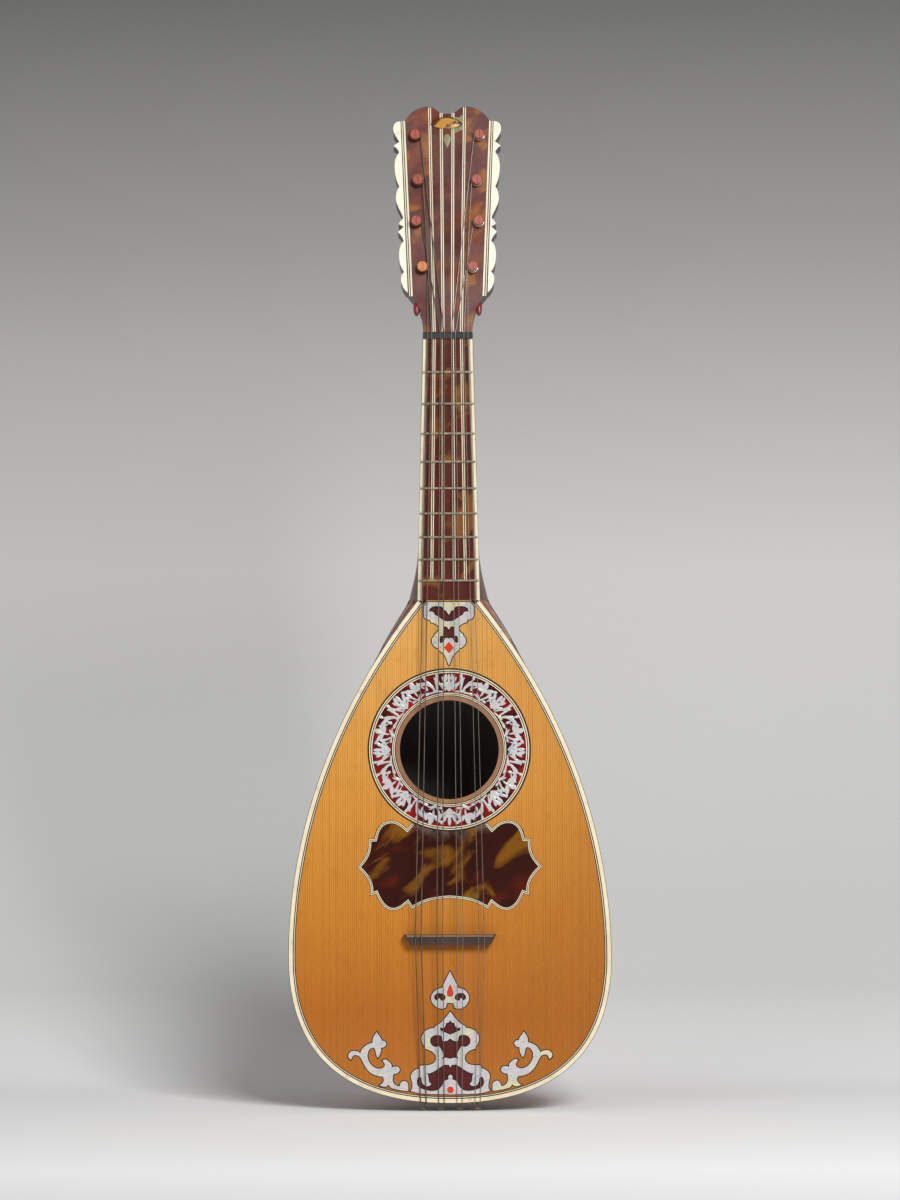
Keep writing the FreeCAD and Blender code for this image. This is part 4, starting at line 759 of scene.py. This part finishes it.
# leaves of one eighth of the ring: place along it, place outward, heading from outward, length, curl, half-width
branchLeaves = [
    (2.2, 1.0, 6, 9.9, -26, 1.0), (3.0, 1.2, 28, 9.6, 6, 0.95), (3.4, 0.8, 84, 6.9, -12, 0.95),
    (5.6, 6.8, 20, 4.4, -30, 0.8), (6.9, 1.0, 8, 9.0, -30, 1.1), (8.2, 1.2, 24, 8.6, 14, 1.1),
    (8.6, 2.2, 20, 15.4, 118, 1.6), (9.2, 0.9, 78, 6.6, 18, 0.9), (11.6, 7.6, 30, 4.0, -40, 0.8),
    (12.4, 7.4, 150, 4.6, 50, 0.9), (13.8, 5.0, 60, 6.0, -60, 0.8), (15.4, 2.2, 96, 5.0, 30, 0.8),
    (16.0, 6.0, 100, 9.4, -66, 1.4), (16.8, 3.4, 120, 5.4, 34, 0.9), (17.6, 7.8, 50, 3.8, -50, 0.8),
    (19.6, 2.6, 10, 8.6, -22, 1.1), (21.0, 1.4, 50, 7.0, -50, 1.0), (23.0, 6.6, 26, 4.6, 44, 0.8),
    (24.4, 2.0, 30, 5.0, -30, 0.75), (20.2, 1.0, 84, 4.6, 10, 0.75),
]
fanLeaves = [
    (0.0, 0.9, -44, 7.4, -8, 0.85), (0.0, 0.8, -22, 9.2, -4, 0.95), (0.0, 0.7, 0, 9.9, 0, 1.0),
    (0.0, 0.8, 22, 9.2, 4, 0.95), (0.0, 0.9, 44, 7.4, 8, 0.85),
    (-1.0, 2.6, -10, 3.6, 0, 1.3), (1.0, 2.6, 10, 3.6, 0, 1.3),
]


def bladeSpines(leaves, count=14):
    # spine(s) = start + sum of length * (sin, cos)(heading + curl * s), with a half-width that swells and tapers
    leaves = np.asarray(leaves, dtype=float)
    share = np.linspace(0, 1, count)
    heading = np.radians(leaves[:, 2:3] + leaves[:, 4:5] * share[None])
    steps = leaves[:, 3:4] / (count - 1)
    moves = np.stack([np.sin(heading), np.cos(heading)], axis=2) * steps[:, :, None]
    reached = np.concatenate([np.zeros_like(moves[:, :1]), np.cumsum(moves[:, :-1], axis=1)], axis=1)
    spine = leaves[:, None, :2] + reached
    normal = np.stack([np.cos(heading), -np.sin(heading)], axis=2)
    swell = 1.04 * (0.2 + 0.8 * share ** 0.8) * np.sqrt(np.clip(1 - share ** 5, 0.002, 1))
    ripple = 1 + 0.16 * np.sin(share * 3.4 * math.pi)
    return spine, normal, leaves[:, 5:6] * (swell * ripple)[None]


def bladeFaces(blades, count, columns, flipped):
    # quads round each blade and a cap at each of its ends
    first = (np.arange(blades) * count * columns)[:, None]
    quads = (first[:, None] + sweptQuads(count, columns)).reshape(-1, 4)
    caps = first + np.arange(columns)
    ends = caps + (count - 1) * columns
    faces = quads.tolist() + caps[:, ::-1].tolist() + ends.tolist()
    return [face[::-1] for face in faces] if flipped else faces


def bladePoints(leaves, bend):
    # cross-section: a flattened six-sided lens, its top bevelled towards both edges
    spine, normal, width = bladeSpines(leaves)
    across = np.array([-1, -0.6, 0.6, 1, 0.7, -0.7])
    shoulder, top, bottom = rosette["bladeHeights"]
    heights = np.array([shoulder, top, top, shoulder, bottom, bottom])
    flatPoints = spine[:, :, None] + normal[:, :, None] * (width[:, :, None] * across)[..., None]
    # each blade lies a little over the one before, so that crossing blades don't share a plane
    rank = np.arange(len(spine))[:, None, None] * rosette["bladeRise"]
    return bend(flatPoints[..., 0], flatPoints[..., 1], heights + rank)


def makeRosette():
    middle = (rosette["foliageInner"] + rosette["foliageOuter"]) / 2

    def ringPlace(start, side):
        def bend(along, outward, forward):
            angle = side * (start + along / middle)
            radius = rosette["foliageInner"] + outward
            return onBoard(np.sin(angle) * radius, rosette["height"] + np.cos(angle) * radius, forward)
        return bend

    # mirrored branches fill each sector, with a fan at every sector's start and one at the foot
    last = rosette["sectors"]
    places = [
        (leaves, sector, side) for side in (1, -1) for sector in range(last) for leaves in (branchLeaves, fanLeaves)
        if side > 0 or sector > 0 or leaves is branchLeaves
    ]
    points, faces, total = [], [], 0
    for leaves, sector, side in places + [(fanLeaves, last, 1)]:
        grid = bladePoints(leaves, ringPlace(math.pi / last * sector, side))
        made = bladeFaces(len(leaves), grid.shape[1], grid.shape[2], side < 0)
        faces += [[corner + total for corner in face] for face in made]
        points.append(grid.reshape(-1, 3))
        total += len(points[-1])
    points = np.concatenate(points)
    foliage = makeObject("rosette_foliage", points, faces, [rosettePearl], slot="pearl", smooth=False)
    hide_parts("rosette_pearl")
    centre = np.array([0, rosette["height"]])

    def ring(name, radius, lines, materials, slot, drop=0.9):
        path = centre + circle(rosette["steps"]) * radius
        return flatLines(name, path, True, lines, 0.0, materials, drop=drop, slot=slot)

    outer = ring("rosette_outer_rings", rosette["foliageOuter"], rosette["outerLines"], inlayLines, "ring_lines")
    ring("rosette_inner_rings", rosette["innerRadius"], rosette["innerLines"], inlayLines, "ring_lines")
    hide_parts("rosette_lines")
    ring("hole_lip", rosette["holeRadius"], [(rosette["lipWidth"], 0)], [lipWood], "neck_wood", 0.2)


rosettePearl = pearlFinish("rosettePearl", straw=-0.04)
lipWood = woodFinish("lipWood", (156, 112, 76), (84, 52, 34), spacing=0.8)
makeRosette()
print("rosette made")


guard = {
    "foot": 150.3, "rimRadius": 45.7, "hookAngle": 27.5, "spacing": 0.8, "fillAngle": 25.6, "fillWidth": 2.5,
    "lineRise": 0.012,
    "lines": [(0.24, 0), (0.42, 1), (0.4, 0), (0.42, 1), (0.26, 0)],
    "half": [
        [(0, -36.9), (5.7, -37.4), (14.0, -39.3), (21.3, -43.0)],
        [(21.3, -43.0), (23.3, -39.7)],
        [(23.3, -39.7), (27.0, -42.4), (32.3, -43.6), (38.1, -39.5), (40.9, -34.3)],
        [(40.9, -34.3), (44.0, -35.6)],
        [(44.0, -35.6), (44.0, -30.3), (46.5, -24.7), (51.3, -19.5)],
        [(51.3, -19.5), (47.0, -14.3), (45.0, -8.8), (44.9, -3.9)],
        [(44.9, -3.9), (41.6, -3.8)],
        [(41.6, -3.8), (38.0, 4.0), (32.6, 6.2), (27.6, 5.0), (23.5, 1.8)],
    ],
}


def guardOutline():
    half = [[(x, guard["foot"] + z) for x, z in run] for run in guard["half"]]
    angles = np.radians(guard["hookAngle"]) * np.array([1, 0.66, 0.33, 0])
    radius = guard["rimRadius"]
    rim = [(radius * math.sin(angle), rosette["height"] - radius * math.cos(angle)) for angle in angles]
    half += [[half[-1][-1], rim[0]], rim]
    other = [[(-x, z) for x, z in run[::-1]] for run in half[::-1]]
    runs = half[:-1] + [half[-1] + other[0][1:]] + other[1:]
    return closedOutline(runs, guard["spacing"])


def makeGuardBorder():
    path = guardOutline()
    start = -lineWidth(guard["lines"]) if turning(path) > 0 else 0.0
    border = flatLines(
        "guard_border_lines", path, True, guard["lines"], start, inlayLines, drop=0.6, rise=guard["lineRise"],
        slot="guard_lines",
    )
    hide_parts("pickguard_border")
    angle = np.radians(np.linspace(-guard["fillAngle"], guard["fillAngle"], 60))
    reach = rosette["foliageOuter"] + lineWidth(rosette["outerLines"])
    arc = np.stack([reach * np.sin(angle), rosette["height"] - reach * np.cos(angle)], axis=1)
    flatLines(
        "guard_rim_fill", arc, False, [(guard["fillWidth"], 0)], 0.0, [guardShell], lift=0.13, slot="tortoiseshell",
    )


def roundEdge(centre, halfWide, up, down, sharpTop=1.0, count=40):
    # an outline about a centre: x = wide * sin(t) * narrowing towards the top, z follows cos(t)
    rise, aside = circle(count).T
    narrow = np.where(rise > 0, (1 - rise) ** (sharpTop - 1) if sharpTop > 1 else 1.0, 1.0)
    x = centre[0] + halfWide * aside * narrow
    return np.stack([x, centre[1] + np.where(rise > 0, rise * up, rise * down)], axis=1)


redInlay = {"dot": (0.0, 7.5, 1.85), "drop": (9.0, 1.75, 4.6, 2.3), "diamond": (25.2, 2.8, 3.2)}


def redPatch(name, edge, middle):
    patch(name, edge, middle, [redHorn], slot="red_mastic")


def makeRedInlays():
    x, z, radius = redInlay["dot"]
    redPatch("red_dot", roundEdge((x, z), radius, radius, radius), (x, z))
    rise, half, up, down = redInlay["drop"]
    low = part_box("trefoil_ornament")[0].z / mm
    redPatch("red_drop", roundEdge((0, low + rise), half, up, down, 1.5), (0, low + rise))
    fall, half, tall = redInlay["diamond"]
    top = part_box("upper_ornament")[1].z / mm
    corners = np.array([(0, tall), (half, 0), (0, -tall), (-half, 0)]) + np.array([0, top - fall])
    redPatch("red_diamond", cornered(corners, 7), (0, top - fall))


ornamentEdge = {
    "nodes": ("upper_ornament", "trefoil_ornament", "lower_ornament", "scroll_ornaments"),
    "width": 0.55, "drop": 0.2, "sharpest": 0.6, "flat": 0.00001,
}


def frontRim(name):
    # the corners of a node's front faces, and the edges that only one of those faces has, in its direction
    mesh = nodes[name].data
    mesh.calc_loop_triangles()
    corners = np.empty(len(mesh.loop_triangles) * 3, dtype=np.int64)
    mesh.loop_triangles.foreach_get("vertices", corners)
    places, same = np.unique(np.round(meshPart(name, "co"), 6), axis=0, return_inverse=True)
    corners = same.ravel()[corners].reshape(-1, 3)
    sides = places[corners]
    facing = np.cross(sides[:, 1] - sides[:, 0], sides[:, 2] - sides[:, 0])
    level = np.abs(sides[:, :, 1] - places[:, 1].min()).max(axis=1) < ornamentEdge["flat"]
    corners = corners[level & (facing[:, 1] < 0)]
    starts, ends = corners.ravel(), np.roll(corners, -1, axis=1).ravel()
    alone = ~np.isin(starts * len(places) + ends, ends * len(places) + starts)
    return places, starts[alone], ends[alone]


def makeOrnamentEdges():
    # corner(i, k) = rim(i) + outward(i) * reach(k), dropped by depth(k): a square line all round each ornament
    for name in ornamentEdge["nodes"]:
        places, starts, ends = frontRim(name)
        kept, numbers = np.unique(np.concatenate([starts, ends]), return_inverse=True)
        first, second = numbers.ravel()[:len(starts)], numbers.ravel()[len(starts):]
        rim = places[kept]
        run = rim[second] - rim[first]
        normal = unit(np.stack([run[:, 2], 0 * run[:, 0], -run[:, 0]], axis=1))
        outward = np.zeros_like(rim)
        np.add.at(outward, first, normal)
        np.add.at(outward, second, normal)
        outward = unit(outward)
        mitre = np.ones(len(rim))
        mitre[first] = np.clip((outward[first] * normal).sum(axis=1), ornamentEdge["sharpest"], 1.0)
        drop = np.array([0, ornamentEdge["drop"] * mm, 0])
        outer = rim + outward * (ornamentEdge["width"] * mm / mitre)[:, None]
        points = np.concatenate([rim, outer, outer + drop, rim + drop])
        here = np.arange(4)[:, None] * len(rim)
        there = np.roll(here, -1, axis=0)
        quads = np.stack([first + here, first + there, second + there, second + here], axis=2).reshape(-1, 4)
        makeObject(name + "_line", points, quads.tolist(), [darkLine], slot="edge_lines", smooth=False)


redHorn = pasteFinish("redHorn", (206, 52, 24), (150, 36, 20), (0.15, 0.3))
makeGuardBorder()
makeRedInlays()
makeOrnamentEdges()
print("guard border, red inlays and ornament edges made")


stripes = {
    "lowHeight": 289.1, "lowCentres": (3.17, 9.33), "nutCentres": (2.55, 7.5),
    "headCentres": (3.3, 9.8), "headStart": 0.4, "headEnds": (128.4, 131.6),
    "lines": [(0.15, 0), (0.5, 1), (0.56, 0), (0.5, 1), (0.15, 0)],
    "sideLines": [(0.3, 0), (0.25, 1), (0.3, 0)], "sideInset": 1.5, "lowHalf": 17.2, "highHalf": 13.6,
    "borderLines": [(0.5, 0), (0.5, 1), (0.55, 0), (0.95, 1), (0.3, 0)],
    "borderLow": (21.8, 21.0), "borderHigh": (26.0, 123.6),
}


def stripe(name, path, lines, start, **rest):
    return flatLines(name, path, False, lines, start, inlayLines, slot="stripe_lines", **rest)


def makeStripes():
    nut = nutHeight / mm
    for side, label in ((-1, "left"), (1, "right")):
        for rank, place in enumerate(("inner", "outer")):
            low, top, head = (side * stripes[key][rank] for key in ("lowCentres", "nutCentres", "headCentres"))
            name, start = label + "_" + place, -lineWidth(stripes["lines"]) / 2
            run = stripe("neck_stripe_" + name, straight(low, stripes["lowHeight"], top, nut), stripes["lines"], start)
            if side < 0 and rank == 0:
                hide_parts("fingerboard_stripes")
            path = straight(top, stripes["headStart"], head, stripes["headEnds"][rank])
            stripe("head_stripe_" + name, path, stripes["lines"], start, place=onHead)
        # the border's and the side's lines run outward on the left and are mirrored on the right
        lowX, lowZ = stripes["borderLow"]
        highX, highZ = stripes["borderHigh"]
        border = stripes["borderLines"][::-side]
        path = straight(side * lowX, lowZ, side * highX, highZ)
        edge = stripe("head_border_" + label, path, border, min(0.0, -side * lineWidth(border)), place=onHead)
        if side < 0:
            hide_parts("head_stripes")
        inset = stripes["sideInset"]
        low, high = side * (stripes["lowHalf"] - inset), side * (stripes["highHalf"] - inset)
        path = straight(low, board["length"], high, nut)
        start = min(0.0, -side * lineWidth(stripes["sideLines"]))
        stripe("board_side_line_" + label, path, stripes["sideLines"], start)


makeStripes()
print("stripes made")


pegWire = {
    "sites": [(14.0, 37.2), (17.4, 63.9), (16.4, 87.9), (17.9, 114.5)], "postRadius": 2.68, "low": 0.9,
    "turns": 5, "perTurn": 28, "wires": (0.3, 0.2), "pitch": 2.1, "sides": 6,
}


def makeWireTurns():
    # centre(t) = peg + radius * (cos t, sin t), climbing by a little more than the wire's thickness each turn
    turn = np.linspace(0, 2 * math.pi * pegWire["turns"], pegWire["turns"] * pegWire["perTurn"])
    sides = onHead(np.cos(turn), np.sin(turn), 0 * turn) - onHead(0, 0, 0)
    up = np.tile(onHead(0, 0, 1) - onHead(0, 0, 0), (len(turn), 1))
    rows = ((-1, "left", "wound_string", darkWire), (1, "right", "plain_string", paleWire))
    for wire, (side, label, slot, material) in zip(pegWire["wires"], rows):
        radius = pegWire["postRadius"] + wire
        climb = pegWire["low"] + turn / (2 * math.pi) * wire * pegWire["pitch"]
        for site, (across, along) in enumerate(pegWire["sites"], start=1):
            centres = onHead(side * across + radius * np.cos(turn), along + radius * np.sin(turn), climb)
            name, profile = "wire_turns_" + label + "_" + str(site), circle(pegWire["sides"]) * wire
            carryProfile(name, centres, sides, up, profile, [0] * len(profile), [material], False, slot=slot)


darkWire = metalFinish("darkWire", (96, 72, 52), (52, 38, 30), (0.35, 0.5))
paleWire = metalFinish("turnedWire", (226, 222, 214), (170, 162, 150), (0.18, 0.35))
makeWireTurns()
print("wire turns made")


# in metres: reach is how near the next rib a point lies, and facing how much it looks outward
ribSeam = {
    "ribs": 13, "width": 0.00045, "proud": 0.00008, "taper": 0.6, "points": 90, "reach": 0.0012,
    "facing": 0.25, "leastStep": 0.0004,
}


def sharedEdge(first, second):
    # points of the first rib's outer face that lie next to the second rib, ordered from the tail to the neck
    points, facing = meshPart(first, "co"), meshPart(first, "normal")
    gaps = np.linalg.norm(points[:, None] - meshPart(second, "co")[None], axis=2).min(axis=1)
    outward = (facing[:, :2] * points[:, :2]).sum(axis=1) / np.linalg.norm(points[:, :2], axis=1)
    chosen = points[(gaps < ribSeam["reach"]) & (outward > ribSeam["facing"])]
    return chosen[np.argsort(chosen[:, 2])]


def makeRibSeams():
    # a narrow strip along each edge: its own direction, outward from the bowl's axis, and across
    half, inner, proud = ribSeam["width"] / 2, ribSeam["width"] / 2 * ribSeam["taper"], ribSeam["proud"]
    profile = [(-half, proud), (half, proud), (inner, -half), (-inner, -half)]
    for rank in range(1, ribSeam["ribs"]):
        edge = sharedEdge("rib_" + str(rank), "rib_" + str(rank + 1))
        edge = edge[np.concatenate(([True], np.diff(edge[:, 2]) > ribSeam["leastStep"]))]
        wanted = np.linspace(edge[0, 2], edge[-1, 2], ribSeam["points"])
        centres = np.stack([np.interp(wanted, edge[:, 2], edge[:, part]) for part in range(3)], axis=1)
        along = unit(np.gradient(centres, axis=0))
        out = centres * np.array([1, 1, 0])
        out = unit(out - (out * along).sum(axis=1)[:, None] * along)
        name = "rib_seam_" + str(rank)
        carryProfile(name, centres, np.cross(along, out), out, profile, [0] * 4, [darkLine], False, slot="rib_maple")


makeRibSeams()
print("rib seams made")


headCrest = {
    "centre": (-0.4, 121.6), "halfWide": 8.2, "up": 3.9, "down": 2.6, "pinch": 0.12, "rimScale": 1.07, "points": 56,
    "leafBase": (0.0, 124.2), "leafLift": 0.12, "drop": (0.0, 112.9, 2.0, 5.2), "shoulderDrop": (17.3, 14.6, 1.7, 4.1),
    "chip": [(4.3, 116.5), (8.7, 118.6), (8.8, 127.6), (6.6, 125.6), (4.3, 126.2)],
}
crestLeaves = [
    (0, 0, 0, 3.2, 0, 0.55), (0.4, 0, 42, 3.4, 50, 0.5), (-0.4, 0, -42, 3.4, -50, 0.5),
    (0.8, 0.2, 80, 3.2, -30, 0.45), (-0.8, 0.2, -80, 3.2, 30, 0.45),
]


def makeHeadOrnament():
    # the shell is an eye: x = wide * cos(t), pinched where z = sin(t) is large
    centre = np.array(headCrest["centre"])
    x, rise = circle(headCrest["points"]).T
    wide = headCrest["halfWide"] * x * (1 - headCrest["pinch"] * np.abs(rise))
    eye = np.stack([wide, rise * np.where(rise > 0, headCrest["up"], headCrest["down"])], axis=1)

    def horn(name, edge, middle, material, slot="amber_horn", **rest):
        return patch(name, edge, middle, [material], place=onHead, slot=slot, **rest)

    rim = horn("head_shell_rim", centre + eye * headCrest["rimScale"], centre, darkLine, lift=0.12, dome=0.0)
    horn("head_shell", centre + eye, centre, finishes["amber_horn"], lift=0.16, dome=0.45)
    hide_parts("head_ornament")
    x, z, half, tall = headCrest["drop"]
    edge = roundEdge((x, -z), half, tall, tall * 0.6, 1.5) * np.array([1, -1])
    horn("head_drop", edge, (x, z), greenHorn, slot="pearl", lift=0.05, dome=0.12)
    corners = np.array(headCrest["chip"])
    horn("head_horn_chip", cornered(corners, 8), corners.mean(axis=0), greenHorn, lift=0.035, dome=0.0)
    across, along, half, tall = headCrest["shoulderDrop"]
    for side, label in ((-1, "left"), (1, "right")):
        middle = (side * across, along)
        edge = roundEdge(middle, half, tall, tall, 1.25)
        horn("shoulder_drop_" + label, edge, middle, darkHorn, lift=-1.2, dome=0.7, drop=3.4)

    def crestPlace(across, along, forward):
        x, z = headCrest["leafBase"]
        return onHead(x + across, z + along, forward + headCrest["leafLift"])

    grid = bladePoints(crestLeaves, crestPlace)
    faces = bladeFaces(len(crestLeaves), grid.shape[1], grid.shape[2], False)
    makeObject("head_crest_leaves", grid.reshape(-1, 3), faces, [darkLine], slot="head_wood", smooth=False)


darkHorn = pasteFinish("darkHorn", (112, 34, 30), (60, 20, 18), (0.2, 0.4))
greenHorn = pasteFinish("greenHorn", (128, 120, 88), (84, 72, 48), (0.2, 0.4))
makeHeadOrnament()
print("head ornament made")


studio = {
    "eye": (0.0007, -3.4, 0.2783), "roll": 0.2, "lens": 184.5, "floorHeight": -0.0046,
    "coveStart": 0.14, "coveRadius": 0.5, "halfSpan": 3.0, "front": -3.0, "top": 2.4,
    "keyLamp": ((0.62, -1.75, 1.25), 0.75, 45.0), "fillLamp": ((-1.5, -1.6, 0.9), 1.6, 8.0),
    "target": (0, 0, 0.25), "skyLevel": 0.25,
}


def makeCove():
    # a floor that bends up into the wall: a quarter circle between two straight runs, swept across X
    start, radius, low = studio["coveStart"], studio["coveRadius"], studio["floorHeight"]
    angle = np.linspace(0, math.pi / 2, 24)
    bend = np.stack([start + radius * np.sin(angle), low + radius * (1 - np.cos(angle))], axis=1)
    line = np.concatenate([[(studio["front"], low)], bend, [(start + radius, studio["top"])]])
    sides = np.array([-studio["halfSpan"], studio["halfSpan"]])
    points = np.stack([np.repeat(sides, len(line)), np.tile(line[:, 0], 2), np.tile(line[:, 1], 2)], axis=1)
    here = np.arange(len(line) - 1)
    faces = np.stack([here, here + len(line), here + 1 + len(line), here + 1], axis=1)
    material, tree, shader, place = startFinish("coveGrey")
    parts = axes(tree, place)
    rise = between(tree, parts[2], 0.0, 0.85)
    paper = cloud(tree, place, 900.0, 2.0)
    # the tone is brightest on the floor and darkens up the wall: painted light and shade, the fall-off of the studio
    # light up the backdrop
    tone = ramp(tree, rise, [
        (0.0, (242, 242, 242)), (0.05, (212, 212, 211)), (0.10, (205, 205, 204)),
        (0.35, (202, 201, 199)), (0.60, (152, 151, 149)), (0.85, (88, 88, 87)), (1.0, (60, 60, 60)),
    ])
    tone = layered(tree, tone, [
        (between(tree, paper, 0.3, 0.7, 0.0, 0.03), 1, (150, 150, 150)),
        (between(tree, parts[1], -1.0, -0.35, 1.0, 0.0), 1, (120, 120, 120)),
    ])
    attach(tree, tone, shader.inputs["Base Color"])
    shader.inputs["Roughness"].default_value = 0.9
    shader.inputs["Specular IOR Level"].default_value = 0.1
    # seen from behind, the wall is clear, so that the back of the instrument can be looked at
    behind = step(tree, "NewGeometry").outputs["Backfacing"]
    clear = step(tree, "MixShader", {0: behind, 1: shader.outputs[0], 2: step(tree, "BsdfTransparent").outputs[0]})
    tree.links.new(clear.outputs[0], tree.nodes["Material Output"].inputs[0])
    thing = linked("cove", newMesh("cove", points, faces.tolist(), [material], True))


def makeLamp(name, place, size, power):
    lamp = bpy.data.lights.new(name, "AREA")
    lamp.size = size
    lamp.energy = power
    thing = linked(name, lamp)
    thing.location = place
    # a lamp shines along its -Z
    away = Vector(place) - Vector(studio["target"])
    thing.rotation_euler = away.to_track_quat("Z", "Y").to_euler()


def makeStudio():
    makeCove()
    for name in ("keyLamp", "fillLamp"):
        makeLamp(name, *studio[name])
    world = bpy.data.worlds.new("studioSky")
    world.use_nodes = True
    sky = world.node_tree.nodes["Background"]
    sky.inputs[0].default_value = (1, 1, 1, 1)
    sky.inputs[1].default_value = studio["skyLevel"]
    bpy.context.scene.world = world
    camera = bpy.data.cameras.new("camera")
    camera.lens = studio["lens"]
    thing = linked("camera", camera)
    thing.location = studio["eye"]
    thing.rotation_euler = (math.radians(90), math.radians(studio["roll"]), 0)
    bpy.context.scene.camera = thing
    bpy.context.scene.view_settings.view_transform = "Standard"


makeStudio()
print("studio made")
